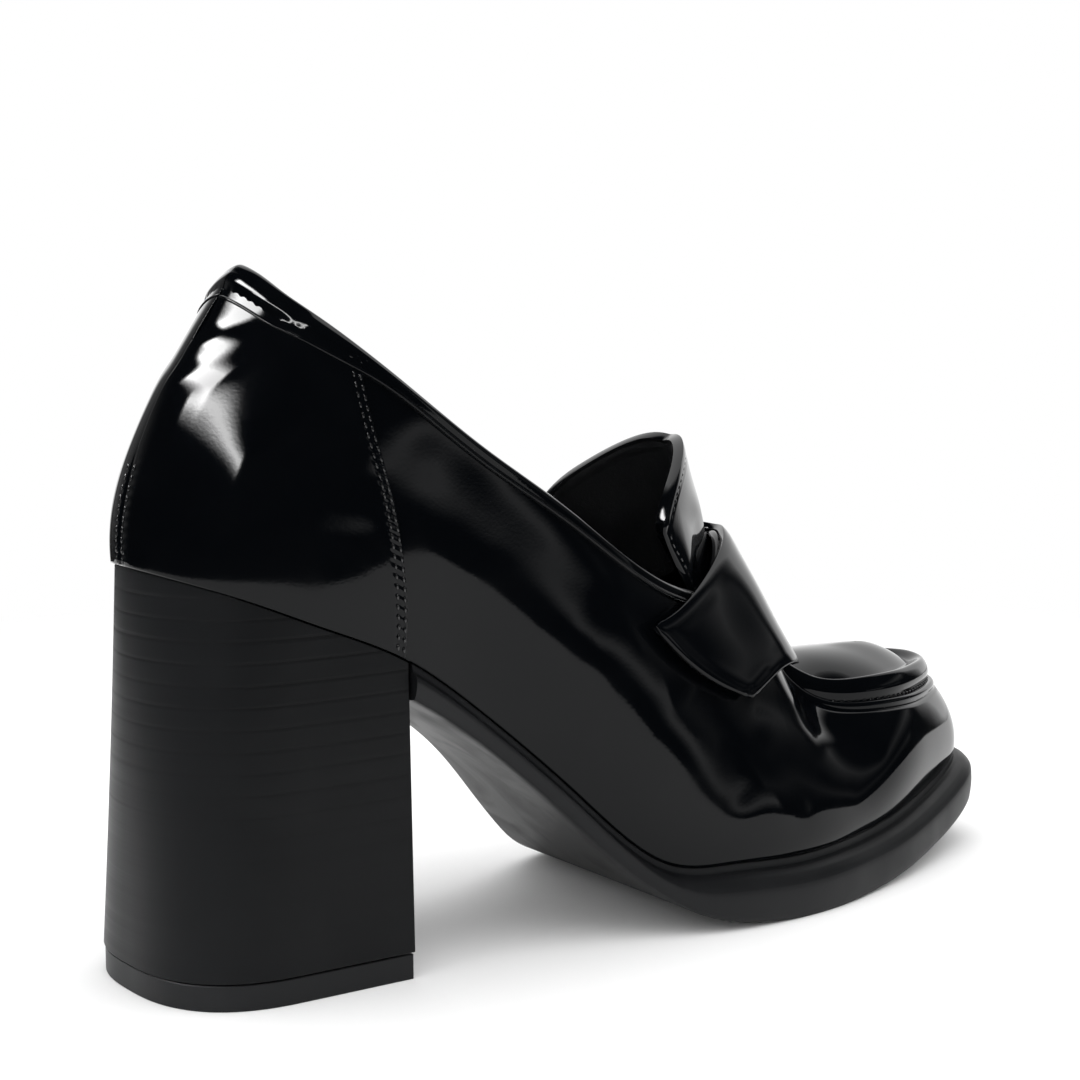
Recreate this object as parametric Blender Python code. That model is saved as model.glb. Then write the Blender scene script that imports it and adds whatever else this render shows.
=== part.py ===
"""A women's loafer pump, EU 38, for the right foot: a high block heel under a hollow leather upper.

Metres, +X to the toe, -Y to the outer side of the foot, +Z up. The tables hold sections in order
from the back of the heel to the toe, as shares of the sizes named above them.
"""

from collections import namedtuple
from math import pi

import bmesh
import bpy
import numpy as np
from mathutils import Vector

# Driving sizes
LENGTH = 0.2430  # back of the heel to the tip of the sole
BALL_HALF = 0.0450  # half the width of the sole across the ball
HEEL_HEIGHT = 0.0925  # floor to the back of the heel seat
INSTEP_HEIGHT = 0.0870  # floor to the throat, under the strap
COLLAR_HEIGHT = 0.1525  # floor to the top of the back
SOLE_HEIGHT = 0.0140  # floor to the foot of the upper at the ball
TOE_SPRING = 0.0105  # further rise of the foot of the upper at the toe

# Upper
WALL = 0.0020
GAP = 0.0003  # between pieces that meet
COUNTER_STEP = 0.0006  # the back panel lies this far over the quarters, and its band as far over it
BAND_WIDTH = 0.0115
BAND_BEVEL = 0.0004
EDGE_ROUND = 0.0008
SEAM_BEAD = 0.0006  # the apron's rolled seam
SEAM_GROOVE = 0.0003  # the stitched groove above it
RIM_RISE = 0.0030
RIM_WIDTH = 0.0091  # from the seam to the inside of the rim
PLUG_DROP = 0.0004
INSOLE_THICKNESS = 0.0030
THROAT_TURN = 0.6  # how round the throat is across the instep, from 1 for a point to 0.5 for an arc

# Sole
LEDGE = 0.0046  # how far the sole stands out round the forefoot
LEDGE_DROP = 0.0050
LEDGE_BEVEL = 0.0006
GROOVE_DROP = 0.0021
WAIST_EDGE = 0.0012
SOLE_ROUND = 0.0016

# Heel
HEEL_LENGTH = 0.0545
HEEL_BACK = 0.0280
HEEL_FLARE = 0.0004  # half of what its foot is wider than its seat
HEEL_SQUARENESS = 2.6
HEEL_PROUD = 0.0002  # its seat stands this far out past the back panel
LIFT_THICKNESS = 0.0060
LIFT_INSET = 0.0003

# Strap and tongue
STRAP_THICKNESS = 0.0022
STRAP_CLEAR = 0.0006
TONGUE_THICKNESS = 0.0026
TONGUE_TUCK = 0.0080
TONGUE_RISE = 0.0275
TONGUE_WING = 0.0235
TONGUE_LEAN = 20  # degrees back from upright, at its middle
TONGUE_TWIST = 6  # degrees more at its sides
TONGUE_FLARE = 0.16

# Places along the shoe, as shares of the length
APRON_START = 0.40  # where the quarter's lines start to turn into the apron's
TONGUE_END = 0.547
RIM_START = 0.57
RIM_FULL = 0.72

# Mesh density
SEAM_STEP = 0.004
WALL_STEPS = 7
PLUG_STEPS = 3
INNER_STEPS = 9
STRAP_STEPS = 15
STRAP_LINES = 11
TONGUE_STEPS = 21
TONGUE_LINES = 7
SAMPLES = 81
BED_SAMPLES = 400

FIELDS = (
    "x near far arch arch_far spring back_up vamp_up crown_x fan "
    "foot_out foot_up crown_out crown_down open seam"
)
Station = namedtuple("Station", FIELDS)
STATIONS = [
    Station(0.007, 0.00, 0.00, 0.995, 0.995, 0.00, 1.207, 0, 0.203, -90, 0.050, 0.34, 0.36, 0.37, 0.680, 0.45),
    Station(0.023, 0.32, 0.27, 0.978, 0.978, 0.00, 1.200, 0, 0.203, -62, 0.055, 0.33, 0.37, 0.34, 0.661, 0.45),
    Station(0.065, 0.550, 0.50, 0.930, 0.930, 0.00, 1.187, 0, 0.205, -32, 0.060, 0.32, 0.44, 0.24, 0.600, 0.44),
    Station(0.135, 0.63, 0.605, 0.838, 0.838, 0.00, 1.167, 0, 0.208, -8, 0.055, 0.30, 0.56, 0.12, 0.535, 0.42),
    Station(0.220, 0.632, 0.61, 0.721, 0.725, 0.00, 1.130, 0, 0.219, 0, 0.060, 0.33, 0.70, 0.10, 0.495, 0.40),
    Station(0.305, 0.61, 0.55, 0.535, 0.575, 0.00, 0.750, 0.500, 0.302, 0, 0.070, 0.32, 0.76, 0.10, 0.490, 0.40),
    Station(0.400, 0.69, 0.56, 0.268, 0.345, 0.00, 0.450, 0.760, 0.405, 0, 0.090, 0.30, 0.78, 0.10, 0.545, 0.42),
    Station(0.486, 0.81, 0.66, 0.040, 0.070, 0.00, 0.200, 0.940, 0.503, 0, 0.105, 0.26, 0.74, 0.09, 0.595, 0.44),
    Station(0.555, 0.88, 0.78, 0.012, 0.012, 0.00, 0.050, 1.050, 0.586, 0, 0.120, 0.25, 0.48, 0.04, 0.610, 0.46),
    Station(0.630, 0.89, 0.88, 0, 0, 0.00, 0, 0.995, 0.656, 0, 0.140, 0.30, 0.28, 0.00, 1, 0.48),
    Station(0.700, 0.835, 0.91, 0, 0, 0.01, 0, 0.713, 0.689, 0, 0.160, 0.36, 0.28, 0.00, 1, 0.48),
    Station(0.745, 0.765, 0.89, 0, 0, 0.04, 0, 0.618, 0.726, 4, 0.175, 0.42, 0.36, 0.00, 1, 0.52),
    Station(0.790, 0.690, 0.84, 0, 0, 0.12, 0, 0.610, 0.768, 14, 0.180, 0.48, 0.54, 0.00, 1, 0.55),
    Station(0.865, 0.530, 0.71, 0, 0, 0.38, 0, 0.612, 0.814, 34, 0.145, 0.47, 0.53, 0.00, 1, 0.54),
    Station(0.930, 0.365, 0.56, 0, 0, 0.70, 0, 0.613, 0.838, 54, 0.080, 0.44, 0.44, 0.00, 1, 0.53),
    Station(0.970, 0.205, 0.37, 0, 0, 0.95, 0, 0.612, 0.850, 74, 0.045, 0.41, 0.39, 0.00, 1, 0.52),
    Station(0.986, -0.08, 0.08, 0, 0, 1.04, 0, 0.612, 0.854, 90, 0.035, 0.41, 0.37, 0.00, 1, 0.52),
]
BREAST = 4  # row at the front of the heel and at the side seam
THROAT = 9  # row where the opening ends, under the strap

SoleEdge = namedtuple("SoleEdge", "x ledge depth")
SOLE_EDGES = [
    SoleEdge(0.220, 0.02, 0.60),
    SoleEdge(0.305, 0.04, 0.54),
    SoleEdge(0.400, 0.10, 0.55),
    SoleEdge(0.445, 0.20, 0.55),
    SoleEdge(0.486, 0.50, 0.60),
    SoleEdge(0.515, 0.80, 0.75),
    SoleEdge(0.555, 1.00, 0.95),
    SoleEdge(0.600, 1.00, 1.02),
    SoleEdge(0.780, 1.00, 1.01),
    SoleEdge(0.865, 1.00, 1.00),
    SoleEdge(0.982, 1.00, 1.02),
]

# Up the rim from the apron's seam, as shares of its width, and off the wall, in the four sizes it uses
RimLine = namedtuple("RimLine", "away bead groove rise drop")
RIM = [
    RimLine(-0.066, 0, 0, 0.00, 0),
    RimLine(0.033, 1, 0, 0.00, 0),
    RimLine(0.176, 1, 0, 0.00, 0),
    RimLine(0.264, 0, 1, 0.00, 0),
    RimLine(0.582, 0, 0, 0.85, 0),
    RimLine(0.780, 0, 0, 1.00, 0),
    RimLine(0.923, 0, 0, 0.45, 0),
    RimLine(1.000, 0, 0, 0.00, 1),
]

StrapRow = namedtuple("StrapRow", "across back_x back_v front_x front_v")
STRAP_ROWS = [
    StrapRow(0.00, 0.470, 0.47, 0.575, 0.40),
    StrapRow(0.33, 0.525, 0.63, 0.643, 0.58),
    StrapRow(0.66, 0.578, 0.83, 0.725, 0.80),
    StrapRow(1.00, 0.622, 1.00, 0.757, 1.00),
]


class Rail:
    """A smooth cubic through one column of a table. A flat end has no slope, the other kind no curvature."""

    def __init__(self, knots, values, flat_start=True, flat_end=True):
        self.knots = np.asarray(knots, float)
        self.values = np.asarray(values, float)
        step = np.diff(self.knots)
        slope = np.diff(self.values) / step
        count = len(self.knots)
        system = np.eye(count)
        right = np.zeros(count)
        for i in range(1, count - 1):
            system[i, i - 1 : i + 2] = step[i - 1], 2 * (step[i - 1] + step[i]), step[i]
            right[i] = 6 * (slope[i] - slope[i - 1])
        if flat_start:
            system[0, :2] = 2 * step[0], step[0]
            right[0] = 6 * slope[0]
        if flat_end:
            system[-1, -2:] = step[-1], 2 * step[-1]
            right[-1] = -6 * slope[-1]
        self.bend = np.linalg.solve(system, right)

    def __call__(self, u):
        u = np.clip(u, self.knots[0], self.knots[-1])
        i = np.clip(np.searchsorted(self.knots, u, side="right") - 1, 0, len(self.knots) - 2)
        h = self.knots[i + 1] - self.knots[i]
        a = (self.knots[i + 1] - u) / h
        b = 1 - a
        bend = ((a**3 - a) * self.bend[i] + (b**3 - b) * self.bend[i + 1]) * h**2 / 6
        return a * self.values[i] + b * self.values[i + 1] + bend


def column(name, rows=STATIONS):
    return np.array([getattr(row, name) for row in rows], float)


def smooth(low, high, value):
    """0 below low, 1 above high, and an even curve between them."""
    t = np.clip((value - low) / (high - low), 0, 1)
    return t * t * (3 - 2 * t)


OUTLINE = np.stack([column("x") * LENGTH, (column("near") + column("far")) / 2 * BALL_HALF], 1)
KNOTS = np.concatenate([[0], np.cumsum(np.linalg.norm(np.diff(OUTLINE, axis=0), axis=1))])
KNOTS /= KNOTS[-1]
THROAT_U = KNOTS[THROAT]
CORNER_U = KNOTS[THROAT - 1]
BREAST_U = KNOTS[BREAST]


def station_at(x):
    """The place round the shoe of a section whose foot lies at this share of the length."""
    return np.interp(x, column("x"), KNOTS)


class Last:
    """The smooth form inside the leather: a curve at each section from the foot of the upper to the crown."""

    def __init__(self):
        span = HEEL_HEIGHT - SOLE_HEIGHT
        rise = SOLE_HEIGHT + column("spring") * TOE_SPRING
        self.x = Rail(KNOTS, column("x") * LENGTH)
        self.half = {
            -1: Rail(KNOTS, column("near") * BALL_HALF, False, False),
            1: Rail(KNOTS, column("far") * BALL_HALF, False, False),
        }
        self.foot_z = {
            -1: Rail(KNOTS, rise + column("arch") * span),
            1: Rail(KNOTS, rise + column("arch_far") * span),
        }
        self.crown_x = Rail(KNOTS, column("crown_x") * LENGTH)
        self.crown_z = Rail(
            KNOTS, column("back_up") * COLLAR_HEIGHT + column("vamp_up") * INSTEP_HEIGHT
        )
        self.shape = {
            name: Rail(KNOTS, column(name))
            for name in ("fan", "foot_out", "foot_up", "crown_out", "crown_down", "seam")
        }
        rows = STATIONS[:THROAT]
        self.opening = Rail(KNOTS[:THROAT], column("open", rows), True, False)

    def open_at(self, u):
        """How far up its curve each section is cut by the topline, which turns in at the throat."""
        way = np.clip((u - CORNER_U) / (THROAT_U - CORNER_U), 0, 1)
        turn = 1 - (1 - way) ** THROAT_TURN
        side = self.opening(np.minimum(u, CORNER_U))
        return side + (1 - side) * turn

    def foot(self, side, u):
        return np.stack([self.x(u), side * self.half[side](u), self.foot_z[side](u)], -1)

    def bed(self, points):
        """The height of the bed that the foot of the upper stands on, below or above each point."""
        u = np.linspace(0, 1, BED_SAMPLES)
        x = self.x(u)
        edges = {side: self.foot(side, u) for side in (-1, 1)}
        near, far = (
            [np.interp(points[..., 0], x, edges[side][:, axis]) for axis in (1, 2)] for side in (-1, 1)
        )
        share = np.clip((points[..., 1] - near[0]) / np.maximum(far[0] - near[0], GAP), 0, 1)
        return near[1] + (far[1] - near[1]) * share

    def outward(self, side, u):
        """The level direction that faces out of the foot's outline."""
        step = 1e-4
        ahead = self.foot(side, np.minimum(u + step, 1))
        behind = self.foot(side, np.maximum(u - step, 0))
        along = (ahead - behind)[..., :2]
        along = along / np.linalg.norm(along, axis=-1, keepdims=True)
        return np.stack([-side * along[..., 1], side * along[..., 0], 0 * along[..., 0]], -1)

    def point(self, side, u, v):
        u, v = np.broadcast_arrays(np.asarray(u, float), np.asarray(v, float))
        foot = self.foot(side, u)
        crown = np.stack([self.crown_x(u), 0 * u, self.crown_z(u)], -1)
        height = (crown - foot)[..., 2:]
        up = np.array([0, 0, 1.0])
        fan = np.radians(self.shape["fan"](u))
        crown_way = np.stack([np.sin(fan), side * np.cos(fan), 0 * u], -1)
        share = {name: rail(u)[..., None] for name, rail in self.shape.items()}
        low = foot + self.outward(side, u) * share["foot_out"] * BALL_HALF + up * share["foot_up"] * height
        high = crown + crown_way * share["crown_out"] * BALL_HALF - up * share["crown_down"] * height
        v = v[..., None]
        w = 1 - v
        return w**3 * foot + 3 * w * w * v * low + 3 * w * v * v * high + v**3 * crown

    def normal(self, side, u, v):
        """The direction out of the leather."""
        u, v = np.broadcast_arrays(np.asarray(u, float), np.asarray(v, float))
        step = 1e-4
        inner_u = np.clip(u, step, 1 - 5 * step)
        along = self.point(side, inner_u + step, v) - self.point(side, inner_u - step, v)
        up = self.point(side, inner_u, np.minimum(v + step, 1)) - self.point(side, inner_u, v - step)
        out = np.cross(along, up) * -side
        middle = ((u <= 0) | (u >= 1) | ((v >= 1) & (u >= THROAT_U)))[..., None]
        out = np.where(middle, out * np.array([1, 0, 1]), out)
        return out / np.linalg.norm(out, axis=-1, keepdims=True)

    def climb(self, side, u, start, distances):
        """The v that lies each distance up the section from start."""
        v = np.linspace(0, 1, SAMPLES)
        curve = self.point(side, u, v)
        length = np.concatenate([[0], np.cumsum(np.linalg.norm(np.diff(curve, axis=0), axis=1))])
        return np.interp(np.interp(start, v, length) + distances, length, v)


LAST = Last()


def rim_strength(u):
    """The rim fades out where it runs in under the strap."""
    return smooth(station_at(RIM_START), station_at(RIM_FULL), u)


def outer_lines(side, u):
    """Places up one section, and how far the outer leather stands off the last at each."""
    top = float(LAST.open_at(u))
    seam = float(LAST.shape["seam"](u)) * (top if u < THROAT_U else 1)
    marks = column("away", RIM) * RIM_WIDTH
    heights = column("bead", RIM) * SEAM_BEAD + column("rise", RIM) * RIM_RISE
    heights -= column("groove", RIM) * SEAM_GROOVE + column("drop", RIM) * PLUG_DROP
    rim = LAST.climb(side, u, seam, marks)
    front = np.concatenate(
        [
            np.linspace(0, rim[0], WALL_STEPS, endpoint=False),
            rim,
            np.linspace(rim[-1], 1, PLUG_STEPS + 1)[1:],
        ]
    )
    off_front = np.concatenate([np.zeros(WALL_STEPS), heights, np.full(PLUG_STEPS, heights[-1])])
    off_front = off_front * rim_strength(u)
    band = LAST.climb(side, u, top, np.array([-BAND_WIDTH - BAND_BEVEL, -BAND_WIDTH]))
    above = len(front) - WALL_STEPS - 2
    back = np.concatenate(
        [
            np.linspace(0, band[0], WALL_STEPS, endpoint=False),
            band,
            np.linspace(band[1], top, above + 1)[1:],
        ]
    )
    raised = COUNTER_STEP * (u <= BREAST_U)
    off_back = np.concatenate([np.full(WALL_STEPS + 1, raised), np.full(above + 1, 2 * raised)])
    share = smooth(station_at(APRON_START), THROAT_U, u)
    lines = np.minimum(back * (1 - share) + front * share, top)
    if u >= THROAT_U:
        lines = front
    return lines, off_back * (1 - share) + off_front * share


def outer_points(side, u):
    lines, off = outer_lines(side, u)
    u_all = np.full(len(lines), u)
    return LAST.point(side, u_all, lines) + LAST.normal(side, u_all, lines) * off[:, None]


def inner_points(side, u, thickness=WALL):
    lines = np.linspace(0, float(LAST.open_at(u)), INNER_STEPS)
    u_all = np.full(len(lines), u)
    return LAST.point(side, u_all, lines) - LAST.normal(side, u_all, lines) * thickness


def throat_share(way):
    """Even steps across the throat, as shares of the stations between its middle and its corner."""
    return way ** (1 / THROAT_TURN)


def stations():
    """The sections of one side, closer together round the heel and the toe."""
    back = np.linspace(0, BREAST_U, 11)
    quarter = np.linspace(BREAST_U + SEAM_STEP, CORNER_U, 14)
    throat = THROAT_U + (CORNER_U - THROAT_U) * throat_share(np.linspace(1, 0, 8)[1:])
    vamp = np.linspace(THROAT_U, 1, 20)[1:]
    return np.concatenate([back, quarter, throat, vamp])


def ring(places):
    """Both sides of the shoe as one loop of (side, station), from the heel round the toe and back."""
    outer = [(-1, u) for u in places]
    inner = [(1, u) for u in places[::-1]]
    return outer + inner


class Skin:
    """A mesh made of strips between rows of points."""

    def __init__(self):
        self.mesh = bmesh.new()

    def row(self, points):
        return [self.mesh.verts.new(Vector(p)) for p in points]

    def strip(self, first, second, turned=False):
        """Faces between two rows of equal length."""
        for a, b, c, d in zip(first, first[1:], second[1:], second):
            corners = (a, b, c, d)
            self.mesh.faces.new(corners[::-1] if turned else corners)

    def sheet(self, rows, turned=False, closed=False):
        pairs = list(zip(rows, rows[1:]))
        if closed:
            pairs.append((rows[-1], rows[0]))
        for first, second in pairs:
            self.strip(first, second, turned)

    def finish(self, name, material):
        """Joins what meets and makes the object."""
        bmesh.ops.remove_doubles(self.mesh, verts=self.mesh.verts, dist=0.00001)
        loose = [v for v in self.mesh.verts if not v.link_faces]
        bmesh.ops.delete(self.mesh, geom=loose, context="VERTS")
        bmesh.ops.recalc_face_normals(self.mesh, faces=self.mesh.faces)
        data = bpy.data.meshes.new(name)
        self.mesh.to_mesh(data)
        self.mesh.free()
        data.shade_smooth()
        data.set_sharp_from_angle(angle=pi / 5)
        data.materials.append(material)
        made = bpy.data.objects.new(name, data)
        bpy.context.collection.objects.link(made)
        return made


def finish_material(name, color, roughness):
    made = bpy.data.materials.new(name)
    made.use_nodes = True
    shader = made.node_tree.nodes["Principled BSDF"]
    shader.inputs["Base Color"].default_value = (*color, 1)
    shader.inputs["Roughness"].default_value = roughness
    return made


def make_upper(material):
    skin = Skin()
    outer, inner, lips = [], [], []
    for side, u in ring(stations()):
        outside = outer_points(side, u)
        inside = inner_points(side, u)
        outer.append(skin.row(outside))
        inner.append(skin.row(inside))
        if u <= THROAT_U:
            middle = (outside[-1] + inside[-1]) / 2
            middle[2] += EDGE_ROUND
            lips.append(skin.row([outside[-1], middle, inside[-1]]))
        else:
            lips.append(None)
    skin.sheet(outer, closed=True)
    skin.sheet(inner, turned=True, closed=True)
    feet = [[rim[0], lining[0]] for rim, lining in zip(outer, inner)]
    skin.sheet(feet, turned=True, closed=True)
    for first, second in zip(lips, lips[1:] + lips[:1]):
        if first and second:
            skin.strip(first, second)
    return skin.finish("upper", material)


def make_insole(material):
    """The sock that closes the upper underneath, inside its wall."""
    skin = Skin()
    rows = []
    for u in np.linspace(0, 1, 31):
        pair = []
        for side in (-1, 1):
            foot = LAST.foot(side, u)
            out = LAST.outward(side, u)
            if u in (0, 1):
                out = out * np.array([1, 0, 1])
            edge = foot - out * (WALL + 2 * GAP)
            edge[2] = LAST.bed(edge) + GAP
            pair.append(edge)
        near, far = pair
        lift = np.array([0, 0, INSOLE_THICKNESS])
        rows.append(skin.row([near, near + lift, far + lift, far]))
    for first, second in zip(rows, rows[1:]):
        skin.strip(first + first[:1], second + second[:1])
    return skin.finish("insole", material)


def sole_profile(side, u):
    """The edge of the sole at one station, from under the upper, over the ledge and round to the tread."""
    foot = LAST.foot(side, u)
    out = LAST.outward(side, u)
    if u >= 1:
        out = np.array([1.0, 0, 0])
    x = column("x", SOLE_EDGES)
    knots = station_at(x)
    ledge = float(Rail(knots, column("ledge", SOLE_EDGES))(u))
    depth = float(Rail(knots, column("depth", SOLE_EDGES))(u)) * SOLE_HEIGHT
    reach = WAIST_EDGE + (LEDGE - WAIST_EDGE) * ledge
    drop = GROOVE_DROP + (LEDGE_DROP - GROOVE_DROP) * ledge
    marks = [
        (-2.2 * WALL, GAP),
        (-0.2 * WALL, GAP),
        (0.0, GAP + 0.7 * GROOVE_DROP),
        (0.22 * reach, GROOVE_DROP),
        (0.62 * reach, GROOVE_DROP + 0.25 * (drop - GROOVE_DROP) + 0.5 * LEDGE_BEVEL),
        (0.90 * reach, GROOVE_DROP + 0.65 * (drop - GROOVE_DROP) + LEDGE_BEVEL),
        (reach, drop + LEDGE_BEVEL),
        (reach - 0.125 * SOLE_ROUND, depth - SOLE_ROUND),
        (reach - 0.5 * SOLE_ROUND, depth - 0.3 * SOLE_ROUND),
        (reach - 1.6 * SOLE_ROUND, depth),
    ]
    points = np.array([foot + out * away for away, _ in marks])
    points[:, 2] = LAST.bed(points) - np.array([down for _, down in marks])
    points[:, 2] = np.maximum(points[:, 2], 0)
    return points


def make_outsole(material):
    """The rubber sole, from the heel's breast to the toe, with its ledge and its sprung tread."""
    skin = Skin()
    start = station_at((HEEL_LENGTH + 3 * GAP) / LENGTH)
    places = np.linspace(start, 1, 36)
    near = [skin.row(sole_profile(-1, u)) for u in places]
    far = [skin.row(sole_profile(1, u)) for u in places]
    skin.sheet(near)
    skin.sheet(far, turned=True)
    for end in (0, -1):
        inside = [[a[end], b[end]] for a, b in zip(near, far)]
        skin.sheet(inside, turned=end == 0)
    skin.mesh.faces.new(near[0] + far[0][::-1])
    return skin.finish("outsole", material)


def heel_outline(inset, count):
    """Half of the heel's level outline, from the middle of its back to the breast."""
    angle = np.linspace(0, pi / 2, 2 * count // 3)
    power = 2 / HEEL_SQUARENESS
    back = HEEL_BACK - inset
    seat = float(LAST.half[-1](BREAST_U)) + COUNTER_STEP + HEEL_PROUD
    half = seat + HEEL_FLARE - inset
    x = inset + back * (1 - np.cos(angle) ** power)
    y = half * np.sin(angle) ** power
    straight = np.linspace(x[-1], HEEL_LENGTH - inset, count - len(x) + 1)[1:]
    return np.concatenate([x, straight]), np.concatenate([y, np.full(len(straight), half)])


def half_spaced(x, y, share):
    """Points at these shares of the way along a half outline."""
    length = np.concatenate([[0], np.cumsum(np.hypot(np.diff(x), np.diff(y)))])
    return np.interp(share * length[-1], length, x), np.interp(share * length[-1], length, y)


def make_heel(material):
    """The stacked block, from the seat of the upper down to the top lift."""
    skin = Skin()
    share = np.linspace(0, 1, 21)
    low_x, low_y = half_spaced(*heel_outline(0, 60), share)
    u = np.linspace(0, station_at(HEEL_LENGTH / LENGTH), 60)
    levels = (0, 0.3, 0.65, 0.985, 1)
    columns = {}
    for side in (-1, 1):
        seat = LAST.foot(side, u) + LAST.outward(side, u) * (COUNTER_STEP + HEEL_PROUD)
        seat[0, 1] = 0
        seat[:, 0] = np.minimum(seat[:, 0], HEEL_LENGTH)
        seat[-1, 0] = HEEL_LENGTH
        top_x, top_y = half_spaced(seat[:, 0], side * seat[:, 1], share)
        top_z = np.interp(top_x, seat[:, 0], seat[:, 2]) - GAP
        columns[side] = []
        for i in range(len(share)):
            low = np.array([low_x[i], side * low_y[i], LIFT_THICKNESS])
            high = np.array([top_x[i], side * top_y[i], top_z[i]])
            columns[side].append(skin.row([low + (high - low) * level for level in levels]))
    skin.sheet(columns[-1])
    skin.sheet(columns[1], turned=True)
    for end in (0, -1):
        across = [[a[end], b[end]] for a, b in zip(columns[-1], columns[1])]
        skin.sheet(across, turned=end == 0)
    skin.mesh.faces.new(columns[-1][-1] + columns[1][-1][::-1])
    return skin.finish("heel", material)


def make_top_lift(material):
    """The rubber piece that the heel stands on."""
    skin = Skin()
    x, y = half_spaced(*heel_outline(LIFT_INSET, 60), np.linspace(0, 1, 21))
    loop = list(zip(x, -y)) + list(zip(x[:0:-1], y[:0:-1]))
    low = skin.row([(a, b, 0) for a, b in loop])
    high = skin.row([(a, b, LIFT_THICKNESS - GAP) for a, b in loop])
    skin.strip(low + low[:1], high + high[:1])
    skin.mesh.faces.new(low)
    skin.mesh.faces.new(high)
    return skin.finish("top_lift", material)


def strap_places(across):
    """The strap's back and front edge at this share of the way from its end to the middle."""
    knots = column("across", STRAP_ROWS)
    at = {
        name: float(Rail(knots, column(name, STRAP_ROWS), False, name.endswith("x"))(across))
        for name in StrapRow._fields[1:]
    }
    return station_at(at["back_x"]), min(at["back_v"], 1), station_at(at["front_x"]), min(at["front_v"], 1)


def make_strap(material):
    """The saddle strap, a band with rounded ends over the instep."""
    skin = Skin()
    across = np.linspace(0, 1, STRAP_STEPS)
    under, over = [], []
    shares = np.linspace(0, 1, STRAP_LINES)
    for side, way in [(-1, a) for a in across] + [(1, a) for a in across[-2::-1]]:
        back_u, back_v, front_u, front_v = strap_places(way)
        u = back_u + (front_u - back_u) * shares
        v = back_v + (front_v - back_v) * shares
        v = np.minimum(v, LAST.open_at(u))
        if way >= 1:
            v[:] = 1
        base = LAST.point(side, u, v)
        out = LAST.normal(side, u, v)
        if way >= 1:
            out = out * np.array([1, 0, 1])
            out /= np.linalg.norm(out, axis=1, keepdims=True)
        over_rim = smooth(0.28, 0.42, v) * (1 - smooth(0.60, 0.76, v))
        clear = STRAP_CLEAR + RIM_RISE * rim_strength(u) * over_rim
        under.append(skin.row(base + out * clear[:, None]))
        over.append(skin.row(base + out * (clear + STRAP_THICKNESS)[:, None]))
    skin.sheet(over)
    skin.sheet(under, turned=True)
    for end in (0, -1):
        skin.sheet([[a[end], b[end]] for a, b in zip(under, over)], turned=end == 0)
    skin.strip(under[0], over[0])
    skin.strip(under[-1], over[-1], turned=True)
    return skin.finish("saddle_strap", material)


def make_tongue(material):
    """The end of the apron that stands up out of the throat behind the strap."""
    skin = Skin()
    face, lining = [], []
    for way in np.linspace(-1, 1, TONGUE_STEPS):
        side = -1 if way < 0 else 1
        u = THROAT_U + (station_at(TONGUE_END) - THROAT_U) * throat_share(abs(way))
        v = float(LAST.open_at(u))
        base = LAST.point(side, u, v)
        out = LAST.normal(side, u, v)
        if way == 0:
            out = out * np.array([1, 0, 1])
            out /= np.linalg.norm(out)
        lean = np.radians(TONGUE_LEAN + TONGUE_TWIST * way**2)
        up = np.array([-np.sin(lean), TONGUE_FLARE * way, np.cos(lean)])
        rise = TONGUE_WING + (TONGUE_RISE - TONGUE_WING) * (1 - way**4) ** 0.7
        heights = np.linspace(-TONGUE_TUCK, rise, TONGUE_LINES)
        line = base - out * (WALL + 2 * GAP) + up * heights[:, None]
        level = out * np.array([1, 1, 0])
        level /= np.linalg.norm(level)
        back = level * TONGUE_THICKNESS
        face.append(skin.row(line))
        lining.append(skin.row(line - back))
    skin.sheet(face)
    skin.sheet(lining, turned=True)
    for end in (0, -1):
        skin.sheet([[a[end], b[end]] for a, b in zip(face, lining)], turned=end == -1)
    skin.strip(face[0], lining[0])
    skin.strip(face[-1], lining[-1], turned=True)
    return skin.finish("tongue", material)


def centre(parts):
    """Moves every mesh so that the origin is in the middle of the shoe's box, on the floor."""
    corners = np.array([v.co for part in parts for v in part.data.vertices])
    low, high = corners.min(0), corners.max(0)
    move = -(low + high) / 2
    move[2] = -low[2]
    for part in parts:
        for v in part.data.vertices:
            v.co += Vector(move)


def main():
    for old in list(bpy.data.objects):
        bpy.data.objects.remove(old)
    patent = finish_material("patent_leather", (0.006, 0.006, 0.007), 0.08)
    lining = finish_material("lining", (0.012, 0.012, 0.013), 0.70)
    rubber = finish_material("sole_rubber", (0.014, 0.014, 0.015), 0.45)
    stack = finish_material("stacked_heel", (0.012, 0.013, 0.014), 0.40)
    parts = [
        make_upper(patent),
        make_insole(lining),
        make_outsole(rubber),
        make_heel(stack),
        make_top_lift(rubber),
        make_strap(patent),
        make_tongue(patent),
    ]
    centre(parts)


main()
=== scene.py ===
"""Dresses the loafer pump: patent leather panels, stitching, lining, stacked heel and rubber sole.

Every piece is drawn over the same smooth form as the solids of the frame, in metres in the frame's
own coordinates: +X to the toe, -Y to the outer side of the foot, +Z up.
"""

from __future__ import annotations

import logging
import math
from dataclasses import dataclass
from enum import Enum, IntEnum
from typing import NamedTuple, Sequence

import bmesh
import bpy
import numpy as np
from mathutils import Matrix, Quaternion, Vector

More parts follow.
